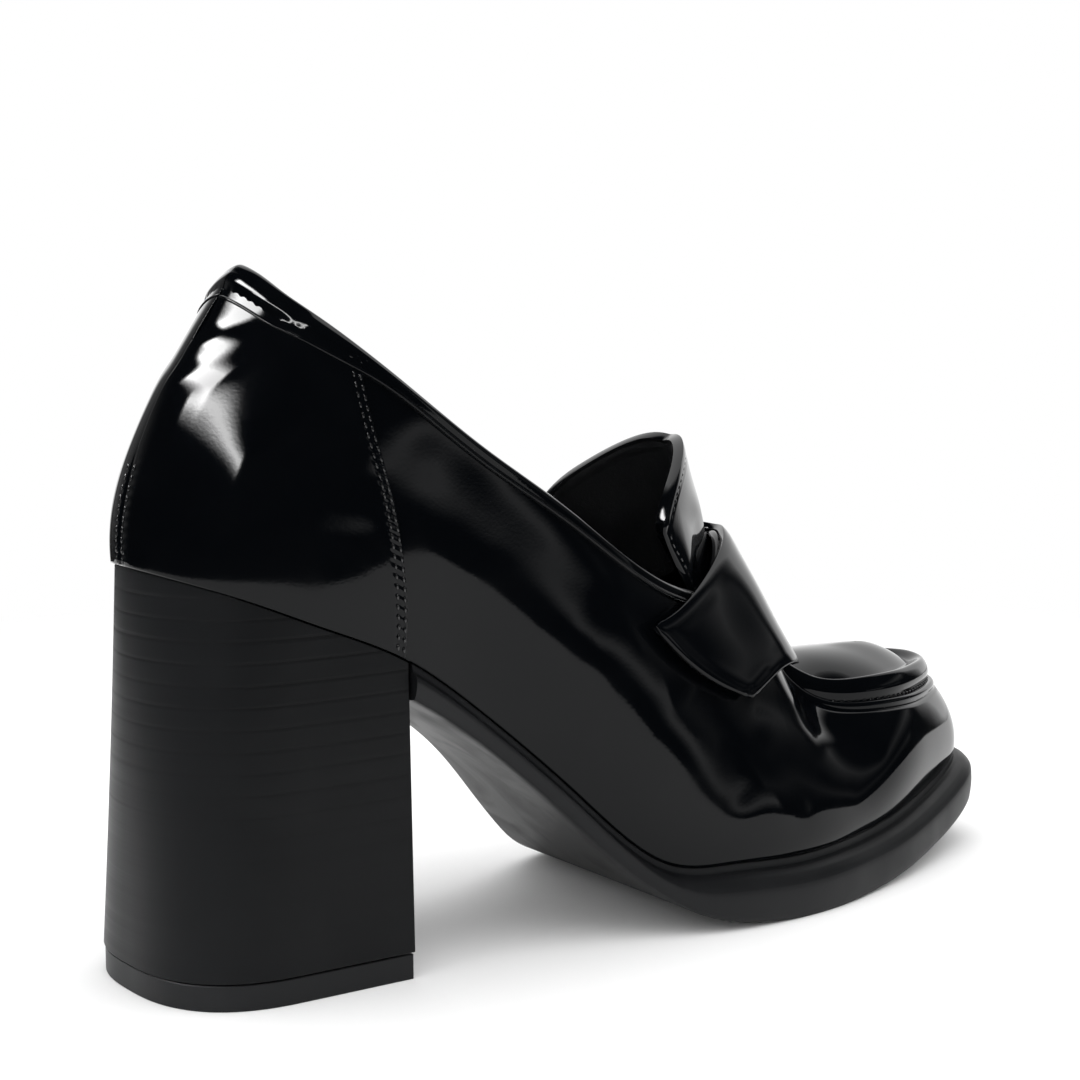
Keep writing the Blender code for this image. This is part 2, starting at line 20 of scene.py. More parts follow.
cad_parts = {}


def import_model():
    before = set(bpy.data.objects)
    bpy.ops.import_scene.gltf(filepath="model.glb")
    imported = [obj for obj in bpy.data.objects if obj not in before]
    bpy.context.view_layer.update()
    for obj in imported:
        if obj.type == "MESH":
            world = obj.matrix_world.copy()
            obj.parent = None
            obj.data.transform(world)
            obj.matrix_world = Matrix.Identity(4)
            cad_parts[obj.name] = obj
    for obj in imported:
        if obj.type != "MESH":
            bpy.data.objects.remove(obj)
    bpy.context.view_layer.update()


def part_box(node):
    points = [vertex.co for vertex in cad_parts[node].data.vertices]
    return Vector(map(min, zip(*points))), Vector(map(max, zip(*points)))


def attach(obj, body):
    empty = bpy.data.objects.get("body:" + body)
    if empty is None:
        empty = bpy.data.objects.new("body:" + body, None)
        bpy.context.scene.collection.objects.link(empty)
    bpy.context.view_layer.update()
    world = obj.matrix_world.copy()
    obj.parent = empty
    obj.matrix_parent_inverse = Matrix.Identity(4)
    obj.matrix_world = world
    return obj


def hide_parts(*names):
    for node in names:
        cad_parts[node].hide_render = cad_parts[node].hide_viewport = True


LOG = logging.getLogger("loafer")
MM = 0.001
BODY = "root"


class Side(IntEnum):
    """The two sides of the foot, as the sign of their Y."""

    OUTER = -1
    INNER = 1


SIDES = (Side.OUTER, Side.INNER)


class Slot(Enum):
    """The record's material slots."""

    PATENT = "patent_leather"
    LINING = "lining"
    RUBBER = "sole_rubber"
    STACK = "stacked_heel"


class Station(NamedTuple):
    """One section of the last, as shares of the sizes of the shoe."""

    x: float
    near: float
    far: float
    arch: float
    arch_far: float
    spring: float
    back_up: float
    vamp_up: float
    crown_x: float
    fan: float
    foot_out: float
    foot_up: float
    crown_out: float
    crown_down: float
    open: float
    seam: float


STATIONS = [
    Station(0.007, 0.00, 0.00, 0.995, 0.995, 0, 1.207, 0, 0.203, -90, 0.050, 0.34, 0.36, 0.37, 0.680, 0.45),
    Station(0.023, 0.32, 0.27, 0.978, 0.978, 0, 1.200, 0, 0.203, -62, 0.055, 0.33, 0.37, 0.34, 0.661, 0.45),
    Station(0.065, 0.550, 0.50, 0.930, 0.930, 0, 1.187, 0, 0.205, -32, 0.060, 0.32, 0.44, 0.24, 0.600, 0.44),
    Station(0.135, 0.63, 0.605, 0.838, 0.838, 0, 1.167, 0, 0.208, -8, 0.055, 0.30, 0.56, 0.12, 0.535, 0.42),
    Station(0.220, 0.632, 0.61, 0.721, 0.725, 0, 1.130, 0, 0.219, 0, 0.060, 0.33, 0.70, 0.10, 0.495, 0.40),
    Station(0.305, 0.61, 0.55, 0.535, 0.575, 0, 0.750, 0.500, 0.302, 0, 0.070, 0.32, 0.76, 0.10, 0.490, 0.40),
    Station(0.400, 0.69, 0.56, 0.268, 0.345, 0, 0.450, 0.760, 0.405, 0, 0.090, 0.30, 0.78, 0.10, 0.545, 0.42),
    Station(0.486, 0.81, 0.66, 0.040, 0.070, 0, 0.200, 0.940, 0.503, 0, 0.105, 0.26, 0.74, 0.09, 0.595, 0.44),
    Station(0.555, 0.88, 0.78, 0.012, 0.012, 0, 0.050, 1.050, 0.586, 0, 0.120, 0.25, 0.48, 0.04, 0.610, 0.46),
    Station(0.630, 0.89, 0.88, 0, 0, 0, 0, 0.995, 0.656, 0, 0.140, 0.30, 0.28, 0, 1, 0.48),
    Station(0.700, 0.835, 0.91, 0, 0, 0.01, 0, 0.713, 0.689, 0, 0.160, 0.36, 0.28, 0, 1, 0.48),
    Station(0.745, 0.765, 0.89, 0, 0, 0.04, 0, 0.618, 0.726, 4, 0.175, 0.42, 0.36, 0, 1, 0.52),
    Station(0.790, 0.690, 0.84, 0, 0, 0.12, 0, 0.610, 0.768, 14, 0.180, 0.48, 0.54, 0, 1, 0.55),
    Station(0.865, 0.530, 0.71, 0, 0, 0.38, 0, 0.612, 0.814, 34, 0.145, 0.47, 0.53, 0, 1, 0.54),
    Station(0.930, 0.365, 0.56, 0, 0, 0.70, 0, 0.613, 0.838, 54, 0.080, 0.44, 0.44, 0, 1, 0.53),
    Station(0.970, 0.205, 0.37, 0, 0, 0.95, 0, 0.612, 0.850, 74, 0.045, 0.41, 0.39, 0, 1, 0.52),
    Station(0.986, -0.08, 0.08, 0, 0, 1.04, 0, 0.612, 0.854, 90, 0.035, 0.41, 0.37, 0, 1, 0.52),
]
BREAST = 4
THROAT = 9


@dataclass(frozen=True)
class Sizes:
    """The sizes of the shoe that its pieces share."""

    length: float = 0.2430
    ball_half: float = 0.0450
    heel_height: float = 0.0925
    instep_height: float = 0.0870
    collar_height: float = 0.1525
    sole_height: float = 0.0140
    toe_spring: float = 0.0105
    wall: float = 0.0020
    gap: float = 0.0003
    throat_turn: float = 0.6
    rim_width: float = 0.0091
    lift_inset: float = 0.0003


SIZES = Sizes()


def smooth(low: float, high: float, value: np.ndarray) -> np.ndarray:
    """Eases from 0 to 1.

    Args:
        low: Where the result is still 0.
        high: Where the result becomes 1.
        value: The values to ease.

    Returns:
        The eased values.
    """
    t = np.clip((value - low) / (high - low), 0, 1)
    return t * t * (3 - 2 * t)


def dip(distance: np.ndarray, width: float) -> np.ndarray:
    """A bell of height 1 at distance 0 that fades within a few widths."""
    return np.exp(-((distance / width) ** 2))


class Rail:
    """A smooth cubic through one column of a table."""

    def __init__(
        self, knots: Sequence[float], values: Sequence[float], flat_start: bool = True, flat_end: bool = True
    ) -> None:
        """Fits the cubic.

        Args:
            knots: Where the values lie, in rising order.
            values: The values that it passes through.
            flat_start: Whether it starts level. Otherwise it starts without curvature.
            flat_end: Whether it ends level.
        """
        self.knots = np.asarray(knots, float)
        self.values = np.asarray(values, float)
        step = np.diff(self.knots)
        slope = np.diff(self.values) / step
        count = len(self.knots)
        system = np.eye(count)
        right = np.zeros(count)
        for i in range(1, count - 1):
            system[i, i - 1 : i + 2] = step[i - 1], 2 * (step[i - 1] + step[i]), step[i]
            right[i] = 6 * (slope[i] - slope[i - 1])
        if flat_start:
            system[0, :2] = 2 * step[0], step[0]
            right[0] = 6 * slope[0]
        if flat_end:
            system[-1, -2:] = step[-1], 2 * step[-1]
            right[-1] = -6 * slope[-1]
        self.bend = np.linalg.solve(system, right)

    def __call__(self, u: np.ndarray) -> np.ndarray:
        """The value at each u."""
        u = np.clip(u, self.knots[0], self.knots[-1])
        i = np.clip(np.searchsorted(self.knots, u, side="right") - 1, 0, len(self.knots) - 2)
        h = self.knots[i + 1] - self.knots[i]
        a = (self.knots[i + 1] - u) / h
        b = 1 - a
        bend = ((a**3 - a) * self.bend[i] + (b**3 - b) * self.bend[i + 1]) * h**2 / 6
        return a * self.values[i] + b * self.values[i + 1] + bend


def column(name: str, rows: Sequence[NamedTuple] = STATIONS) -> np.ndarray:
    """One column of a table."""
    return np.array([getattr(row, name) for row in rows], float)


def unit(vectors: np.ndarray) -> np.ndarray:
    """The vectors at length 1."""
    return vectors / np.maximum(np.linalg.norm(vectors, axis=-1, keepdims=True), 1e-12)


def way_along(points: np.ndarray, axis: int = 0) -> np.ndarray:
    """How far each point lies along its line of points, from the first."""
    steps = np.linalg.norm(np.diff(points, axis=axis), axis=-1)
    start = np.zeros_like(np.take(steps, [0], axis=axis))
    return np.concatenate([start, np.cumsum(steps, axis=axis)], axis=axis)


class Last:
    """The smooth form inside the leather: a curve at each section from the foot of the upper to the crown."""

    def __init__(self, shift: np.ndarray) -> None:
        """Sets the form in the frame.

        Args:
            shift: Where the back of the heel's foot lies in the frame.
        """
        s = SIZES
        self.shift = shift
        outline = np.stack([column("x") * s.length, (column("near") + column("far")) / 2 * s.ball_half], 1)
        self.knots = np.concatenate([[0], np.cumsum(np.linalg.norm(np.diff(outline, axis=0), axis=1))])
        self.knots /= self.knots[-1]
        self.throat = self.knots[THROAT]
        self.corner = self.knots[THROAT - 1]
        self.breast = self.knots[BREAST]
        span = s.heel_height - s.sole_height
        rise = s.sole_height + column("spring") * s.toe_spring
        self.x = Rail(self.knots, column("x") * s.length)
        self.half = {
            Side.OUTER: Rail(self.knots, column("near") * s.ball_half, False, False),
            Side.INNER: Rail(self.knots, column("far") * s.ball_half, False, False),
        }
        self.foot_z = {
            Side.OUTER: Rail(self.knots, rise + column("arch") * span),
            Side.INNER: Rail(self.knots, rise + column("arch_far") * span),
        }
        self.crown_x = Rail(self.knots, column("crown_x") * s.length)
        crown = column("back_up") * s.collar_height + column("vamp_up") * s.instep_height
        self.crown_z = Rail(self.knots, crown)
        names = ("fan", "foot_out", "foot_up", "crown_out", "crown_down", "seam")
        self.shape = {name: Rail(self.knots, column(name)) for name in names}
        self.opening = Rail(self.knots[:THROAT], column("open", STATIONS[:THROAT]), True, False)

    def station_at(self, x: float) -> float:
        """The place round the shoe of a section whose foot lies at this share of the length."""
        return np.interp(x, column("x"), self.knots)

    def open_at(self, u: np.ndarray) -> np.ndarray:
        """How far up its curve each section is cut by the topline."""
        way = np.clip((u - self.corner) / (self.throat - self.corner), 0, 1)
        turn = 1 - (1 - way) ** SIZES.throat_turn
        side = self.opening(np.minimum(u, self.corner))
        return side + (1 - side) * turn

    def throat_share(self, way: np.ndarray) -> np.ndarray:
        """Even steps across the throat, as shares of the stations between its middle and its corner."""
        return way ** (1 / SIZES.throat_turn)

    def foot(self, side: Side, u: np.ndarray) -> np.ndarray:
        """The foot of the upper, before the shift into the frame."""
        return np.stack([self.x(u), side * self.half[side](u), self.foot_z[side](u)], -1)

    def bed(self, points: np.ndarray) -> np.ndarray:
        """The height of the bed that the foot of the upper stands on, at each point before the shift."""
        u = np.linspace(0, 1, 400)
        x = self.x(u)
        rails = {side: self.foot(side, u) for side in SIDES}
        near, far = (
            [np.interp(points[..., 0], x, rails[side][:, axis]) for axis in (1, 2)] for side in SIDES
        )
        share = np.clip((points[..., 1] - near[0]) / np.maximum(far[0] - near[0], SIZES.gap), 0, 1)
        return near[1] + (far[1] - near[1]) * share

    def outward(self, side: Side, u: np.ndarray) -> np.ndarray:
        """The level direction that faces out of the foot's outline."""
        step = 1e-4
        along = (self.foot(side, np.minimum(u + step, 1)) - self.foot(side, np.maximum(u - step, 0)))[..., :2]
        along = unit(along)
        return np.stack([-side * along[..., 1], side * along[..., 0], 0 * along[..., 0]], -1)

    def point(self, side: Side, u: np.ndarray, v: np.ndarray) -> np.ndarray:
        """Points on the form.

        Args:
            side: The side of the foot.
            u: Places round the shoe, from the heel to the toe.
            v: Places up each section, from the foot of the upper to the crown.

        Returns:
            Their coordinates in the frame.
        """
        u, v = np.broadcast_arrays(np.asarray(u, float), np.asarray(v, float))
        foot = self.foot(side, u)
        crown = np.stack([self.crown_x(u), 0 * u, self.crown_z(u)], -1)
        height = (crown - foot)[..., 2:]
        up = np.array([0, 0, 1.0])
        fan = np.radians(self.shape["fan"](u))
        crown_way = np.stack([np.sin(fan), side * np.cos(fan), 0 * u], -1)
        share = {name: rail(u)[..., None] for name, rail in self.shape.items()}
        half = SIZES.ball_half
        low = foot + self.outward(side, u) * share["foot_out"] * half + up * share["foot_up"] * height
        high = crown + crown_way * share["crown_out"] * half - up * share["crown_down"] * height
        v = v[..., None]
        w = 1 - v
        return w**3 * foot + 3 * w * w * v * low + 3 * w * v * v * high + v**3 * crown + self.shift

    def normal(self, side: Side, u: np.ndarray, v: np.ndarray) -> np.ndarray:
        """The direction out of the leather."""
        u, v = np.broadcast_arrays(np.asarray(u, float), np.asarray(v, float))
        step = 1e-4
        inner = np.clip(u, step, 1 - 5 * step)
        along = self.point(side, inner + step, v) - self.point(side, inner - step, v)
        up = self.point(side, inner, np.minimum(v + step, 1)) - self.point(side, inner, v - step)
        out = np.cross(along, up) * -side
        middle = ((u <= 0) | (u >= 1) | ((v >= 1) & (u >= self.throat - 1e-9)))[..., None]
        return unit(np.where(middle, out * np.array([1, 0, 1]), out))

    def climb(self, side: Side, u: float, start: float, distances: np.ndarray) -> np.ndarray:
        """The v that lies each distance up the section from start."""
        v = np.linspace(0, 1, 121)
        length = way_along(self.point(side, u, v))
        return np.interp(np.interp(start, v, length) + distances, length, v)


# Meshes


def add_sheet(mesh: bmesh.types.BMesh, places: np.ndarray, turned: bool = False) -> None:
    """Adds a grid whose vertices lie at the given places.

    Args:
        mesh: The mesh that it is added to.
        places: Coordinates, by column and row.
        turned: Whether its faces look the other way.
    """
    columns, rows = places.shape[:2]
    made = bmesh.ops.create_grid(mesh, x_segments=columns - 1, y_segments=rows - 1, size=1)["verts"]
    for vert in made:
        i = round((vert.co.x + 1) / 2 * (columns - 1))
        j = round((vert.co.y + 1) / 2 * (rows - 1))
        vert.co = places[i, j]
    if turned:
        faces = list({face for vert in made for face in vert.link_faces})
        bmesh.ops.reverse_faces(mesh, faces=faces)


def finish_piece(
    mesh: bmesh.types.BMesh,
    name: str,
    materials: Sequence[bpy.types.Material],
    replaces: Sequence[str] = (),
    sharp: float | None = None,
) -> bpy.types.Object:
    """Makes the piece and gives it its body and materials.

    Args:
        mesh: Its mesh, which is freed.
        name: Its name.
        materials: Its materials, in the order that its faces number them.
        replaces: The frame's nodes that it stands for.
        sharp: The angle in degrees from which an edge is sharp, or None for a smooth piece.

    Returns:
        The object.
    """
    data = bpy.data.meshes.new(name)
    mesh.to_mesh(data)
    mesh.free()
    data.shade_smooth()
    if sharp is not None:
        data.set_sharp_from_angle(angle=math.radians(sharp))
    for material in materials:
        data.materials.append(material)
    made = bpy.data.objects.new(name, data)
    bpy.context.collection.objects.link(made)
    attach(made, BODY)
    if replaces:
        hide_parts(*replaces)
    LOG.info("%s: %d faces", name, len(data.polygons))
    return made


def merge(mesh: bmesh.types.BMesh, distance: float = 1e-5) -> None:
    """Joins what meets."""
    bmesh.ops.remove_doubles(mesh, verts=mesh.verts, dist=distance)


def thicken(piece: bpy.types.Object, depth: float, inside: int = 0) -> None:
    """Gives a sheet its thickness, below the side that shows.

    Args:
        piece: The sheet.
        depth: Its thickness.
        inside: How many materials further the inner side's is.
    """
    made = piece.modifiers.new("thickness", "SOLIDIFY")
    made.thickness = depth
    made.offset = -1
    made.material_offset = inside


def soften(piece: bpy.types.Object, width: float, segments: int = 2, angle: float = 40) -> None:
    """Rounds the edges that are sharper than an angle in degrees."""
    made = piece.modifiers.new("soft_edge", "BEVEL")
    made.width = width
    made.segments = segments
    made.limit_method = "ANGLE"
    made.angle_limit = math.radians(angle)


class Crease(NamedTuple):
    """A soft trough or ridge on one side, between two places seen from the side, before the shift."""

    side: Side
    start: tuple[float, float]
    end: tuple[float, float]
    width: float
    depth: float


CREASES = [
    Crease(Side.OUTER, (0.126, 0.054), (0.137, 0.032), 0.0055, 0.00038),
    Crease(Side.OUTER, (0.148, 0.040), (0.156, 0.026), 0.0045, 0.00032),
    Crease(Side.OUTER, (0.147, 0.051), (0.186, 0.035), 0.0032, 0.00030),
    Crease(Side.OUTER, (0.168, 0.036), (0.176, 0.027), 0.0040, 0.00022),
    Crease(Side.OUTER, (0.062, 0.112), (0.100, 0.082), 0.0080, 0.00045),
    Crease(Side.OUTER, (0.060, 0.094), (0.096, 0.066), 0.0070, -0.00025),
    Crease(Side.OUTER, (0.024, 0.107), (0.044, 0.103), 0.0050, 0.00030),
    Crease(Side.INNER, (0.124, 0.050), (0.138, 0.030), 0.0060, 0.00040),
    Crease(Side.INNER, (0.150, 0.042), (0.163, 0.027), 0.0055, 0.00030),
    Crease(Side.INNER, (0.064, 0.108), (0.098, 0.080), 0.0075, 0.00040),
    Crease(Side.INNER, (0.016, 0.106), (0.040, 0.101), 0.0060, 0.00025),
]


class Fold(NamedTuple):
    """A low step in the leather on one side, higher above the line between two places."""

    side: Side
    start: tuple[float, float]
    end: tuple[float, float]
    width: float
    height: float


FOLDS = [
    Fold(Side.OUTER, (0.010, 0.1370), (0.034, 0.1430), 0.0015, -0.00044),
    Fold(Side.OUTER, (0.008, 0.1285), (0.030, 0.1390), 0.0019, -0.00058),
    Fold(Side.INNER, (0.010, 0.1310), (0.034, 0.1350), 0.0022, -0.00030),
]


def wobble(points: np.ndarray) -> np.ndarray:
    """The long, low waves of stretched leather."""
    x, y, z = (points[..., axis] / MM for axis in range(3))
    waves = np.sin(x / 9.1 + z / 13.7 + 0.4) * np.sin(z / 8.3 - x / 21 + y / 17)
    waves += 0.6 * np.sin(x / 5.3 - z / 7.9 + 1.7) * np.sin(y / 9.7 + z / 12.1)
    return waves * 0.00006


class Leather:
    """The outer leather's surface, with its creases, as the panels on it see it."""

    def __init__(self, last: Last) -> None:
        """Keeps the form that it is drawn over."""
        self.last = last

    def surface(self, side: Side, u: np.ndarray, v: np.ndarray, lift: np.ndarray | float = 0) -> np.ndarray:
        """Points over the form.

        Args:
            side: The side of the foot.
            u: Places round the shoe.
            v: Places up each section.
            lift: How far each lies off the form.

        Returns:
            Their coordinates in the frame.
        """
        points = self.last.point(side, u, v)
        out = self.last.normal(side, u, v)
        local = points - self.last.shift
        lift = lift + wobble(local)
        for crease in CREASES:
            if crease.side == side:
                lift = lift - crease.depth * self.closeness(crease, local)
        for fold in FOLDS:
            if fold.side == side:
                lift = lift + self.step(fold, local)
        return points + out * np.asarray(lift)[..., None]

    @staticmethod
    def closeness(crease: Crease, local: np.ndarray) -> np.ndarray:
        """How deep in the crease each point lies, from 0 to 1."""
        start, end = np.array(crease.start), np.array(crease.end)
        flat = local[..., [0, 2]] - start
        way = np.clip((flat @ (end - start)) / np.sum((end - start) ** 2), 0, 1)
        return dip(np.linalg.norm(flat - way[..., None] * (end - start), axis=-1), crease.width)

    @staticmethod
    def step(fold: Fold, local: np.ndarray) -> np.ndarray:
        """The height of the fold's step at each point."""
        start, end = np.array(fold.start), np.array(fold.end)
        length = np.linalg.norm(end - start)
        along = (end - start) / length
        flat = local[..., [0, 2]] - start
        above = flat @ np.array([-along[1], along[0]])
        way = flat @ along
        past = way - np.clip(way, 0, length)
        near = dip(above, 4 * fold.width) * dip(past, 3 * fold.width)
        return fold.height * np.tanh(above / fold.width) * near


@dataclass(frozen=True)
class StitchRow:
    """A row of thread over a path."""

    pitch: float = 0.0023
    length: float = 0.0017
    width: float = 0.00055
    height: float = 0.00040

    def sew(self, mesh: bmesh.types.BMesh, path: np.ndarray, out: np.ndarray) -> None:
        """Adds the stitches.

        Args:
            mesh: The mesh that they are added to.
            path: The points that they follow.
            out: The direction out of the leather at each point.
        """
        far = way_along(path)
        middles = np.arange(self.pitch / 2, far[-1], self.pitch)
        for place in middles:
            ends = (place - self.length / 2, place + self.length / 2)
            a, b = (np.array([np.interp(end, far, path[:, k]) for k in range(3)]) for end in ends)
            up = np.array([np.interp(place, far, out[:, k]) for k in range(3)])
            along = Vector(b - a).normalized()
            across = Vector(up).cross(along).normalized()
            turn = Matrix((along, across, along.cross(across))).transposed().to_4x4()
            size = Matrix.Diagonal((self.length / 2, self.width / 2, self.height / 2, 1))
            spot = Matrix.Translation(Vector((a + b) / 2)) @ turn @ size
            bmesh.ops.create_uvsphere(mesh, u_segments=8, v_segments=6, radius=1, matrix=spot)


def pucker(off_row: np.ndarray, along: np.ndarray, pitch: float, depth: float = 0.00014) -> np.ndarray:
    """How far the thread pulls the leather down near a row, in waves between the stitches.

    Args:
        off_row: How far each point lies from the row.
        along: How far along the row it lies.
        pitch: The distance between stitches.
        depth: The deepest pull.

    Returns:
        The pull, as a height below the leather.
    """
    return depth * dip(off_row, 0.0007) * (0.55 + 0.45 * np.cos(2 * math.pi * along / pitch))


# Finishes


def group_with(name: str, inputs: dict[str, float], outputs: Sequence[str]) -> bpy.types.ShaderNodeTree:
    """A node group with named number sockets.

    Args:
        name: Its name.
        inputs: Its inputs and their starting values.
        outputs: Its outputs.

    Returns:
        The group, with its Group Input and Group Output nodes.
    """
    tree = bpy.data.node_groups.new(name, "ShaderNodeTree")
    for key, value in inputs.items():
        tree.interface.new_socket(key, in_out="INPUT", socket_type="NodeSocketFloat").default_value = value
    for key in outputs:
        tree.interface.new_socket(key, in_out="OUTPUT", socket_type="NodeSocketFloat")
    tree.nodes.new("NodeGroupInput")
    tree.nodes.new("NodeGroupOutput")
    return tree


def calc(
    tree: bpy.types.NodeTree, operation: str, *values: bpy.types.NodeSocket | float, clamp: bool = False
) -> bpy.types.NodeSocket:
    """Adds a sum to a node tree.

    Args:
        tree: The tree.
        operation: What is done with the values.
        values: Sockets or plain numbers.
        clamp: Whether the result stays between 0 and 1.

    Returns:
        The socket of the result.
    """
    node = tree.nodes.new("ShaderNodeMath")
    node.operation = operation
    node.use_clamp = clamp
    for socket, value in zip(node.inputs, values):
        if isinstance(value, bpy.types.NodeSocket):
            tree.links.new(value, socket)
        else:
            socket.default_value = value
    return node.outputs["Value"]


def panel_group() -> bpy.types.ShaderNodeTree:
    """A far, soft-edged panel of light in the world, as a mask."""
    tree = group_with("soft_panel", {"Half Width": 0.3, "Half Height": 0.2, "Edge": 0.1}, ["Mask"])
    for key in ("Forward", "Right", "Up"):
        tree.interface.new_socket(key, in_out="INPUT", socket_type="NodeSocketVector")
    nodes, links = tree.nodes, tree.links
    enter, leave = nodes["Group Input"], nodes["Group Output"]
    place = nodes.new("ShaderNodeTexCoord")
    parts = []
    for key in ("Forward", "Right", "Up"):
        dot = nodes.new("ShaderNodeVectorMath")
        dot.operation = "DOT_PRODUCT"
        links.new(place.outputs["Generated"], dot.inputs[0])
        links.new(enter.outputs[key], dot.inputs[1])
        parts.append(dot.outputs["Value"])
    ahead = calc(tree, "MAXIMUM", parts[0], 0.001)
    mask = calc(tree, "GREATER_THAN", parts[0], 0.0)
    for part, key in ((parts[1], "Half Width"), (parts[2], "Half Height")):
        off = calc(tree, "ABSOLUTE", calc(tree, "DIVIDE", part, ahead))
        inside = calc(tree, "SUBTRACT", enter.outputs[key], off)
        share = calc(tree, "DIVIDE", inside, enter.outputs["Edge"], clamp=True)
        mask = calc(tree, "MULTIPLY", mask, calc(tree, "POWER", share, 2.0))
    links.new(mask, leave.inputs["Mask"])
    return tree


def grain_group() -> bpy.types.ShaderNodeTree:
    """Fine grain over long waves, as a height."""
    tree = group_with("grain", {"Fine": 900.0, "Long": 70.0, "Share": 0.3}, ["Height"])
    nodes, links = tree.nodes, tree.links
    enter, leave = nodes["Group Input"], nodes["Group Output"]
    place = nodes.new("ShaderNodeTexCoord")
    fine = nodes.new("ShaderNodeTexNoise")
    broad = nodes.new("ShaderNodeTexNoise")
    fine.inputs["Detail"].default_value = 3
    broad.inputs["Detail"].default_value = 1
    mix = nodes.new("ShaderNodeMix")
    for noise, key in ((fine, "Fine"), (broad, "Long")):
        links.new(place.outputs["Object"], noise.inputs["Vector"])
        links.new(enter.outputs[key], noise.inputs["Scale"])
    links.new(enter.outputs["Share"], mix.inputs["Factor"])
    links.new(broad.outputs["Fac"], mix.inputs["A"])
    links.new(fine.outputs["Fac"], mix.inputs["B"])
    links.new(mix.outputs["Result"], leave.inputs["Height"])
    return tree


def smudge_group() -> bpy.types.ShaderNodeTree:
    """Patches where hands and cloths have dulled the gloss, as a mask."""
    tree = group_with("smudges", {"Scale": 45.0, "Low": 0.45, "High": 0.75}, ["Mask"])
    nodes, links = tree.nodes, tree.links
    enter, leave = nodes["Group Input"], nodes["Group Output"]
    place = nodes.new("ShaderNodeTexCoord")
    noise = nodes.new("ShaderNodeTexNoise")
    noise.inputs["Detail"].default_value = 5
    noise.inputs["Distortion"].default_value = 0.6
    ramp = nodes.new("ShaderNodeMapRange")
    links.new(place.outputs["Object"], noise.inputs["Vector"])
    links.new(enter.outputs["Scale"], noise.inputs["Scale"])
    links.new(noise.outputs["Fac"], ramp.inputs["Value"])
    links.new(enter.outputs["Low"], ramp.inputs["From Min"])
    links.new(enter.outputs["High"], ramp.inputs["From Max"])
    links.new(ramp.outputs["Result"], leave.inputs["Mask"])
    return tree


@dataclass(frozen=True)
class Finish:
    """A surface: its colour, its gloss and how they vary."""

    name: str
    color: tuple[float, float, float]
    worn: tuple[float, float, float]
    gloss: tuple[float, float]
    bump: float
    bump_depth: float
    grain: tuple[float, float, float]
    specular: float = 0.5
    smudge_scale: float = 45.0

    def make(self, shared: dict[str, bpy.types.ShaderNodeTree]) -> bpy.types.Material:
        """Builds the material.

        Args:
            shared: The node groups that the materials share.

        Returns:
            The material.
        """
        material = bpy.data.materials.new(self.name)
        material.use_nodes = True
        nodes, links = material.node_tree.nodes, material.node_tree.links
        shader = nodes["Principled BSDF"]
        shader.inputs["Specular IOR Level"].default_value = self.specular
        marks = nodes.new("ShaderNodeGroup")
        marks.node_tree = shared["smudges"]
        marks.inputs["Scale"].default_value = self.smudge_scale
        tint = nodes.new("ShaderNodeMix")
        tint.data_type = "RGBA"
        tint.inputs["A"].default_value = (*self.color, 1)
        tint.inputs["B"].default_value = (*self.worn, 1)
        dull = nodes.new("ShaderNodeMapRange")
        dull.inputs["To Min"].default_value, dull.inputs["To Max"].default_value = self.gloss
        grain = nodes.new("ShaderNodeGroup")
        grain.node_tree = shared["grain"]
        for key, value in zip(("Fine", "Long", "Share"), self.grain):
            grain.inputs[key].default_value = value
        bump = nodes.new("ShaderNodeBump")
        bump.inputs["Strength"].default_value = self.bump
        bump.inputs["Distance"].default_value = self.bump_depth
        links.new(marks.outputs["Mask"], tint.inputs["Factor"])
        links.new(tint.outputs["Result"], shader.inputs["Base Color"])
        links.new(marks.outputs["Mask"], dull.inputs["Value"])
        links.new(dull.outputs["Result"], shader.inputs["Roughness"])
        links.new(grain.outputs["Height"], bump.inputs["Height"])
        links.new(bump.outputs["Normal"], shader.inputs["Normal"])
        return material


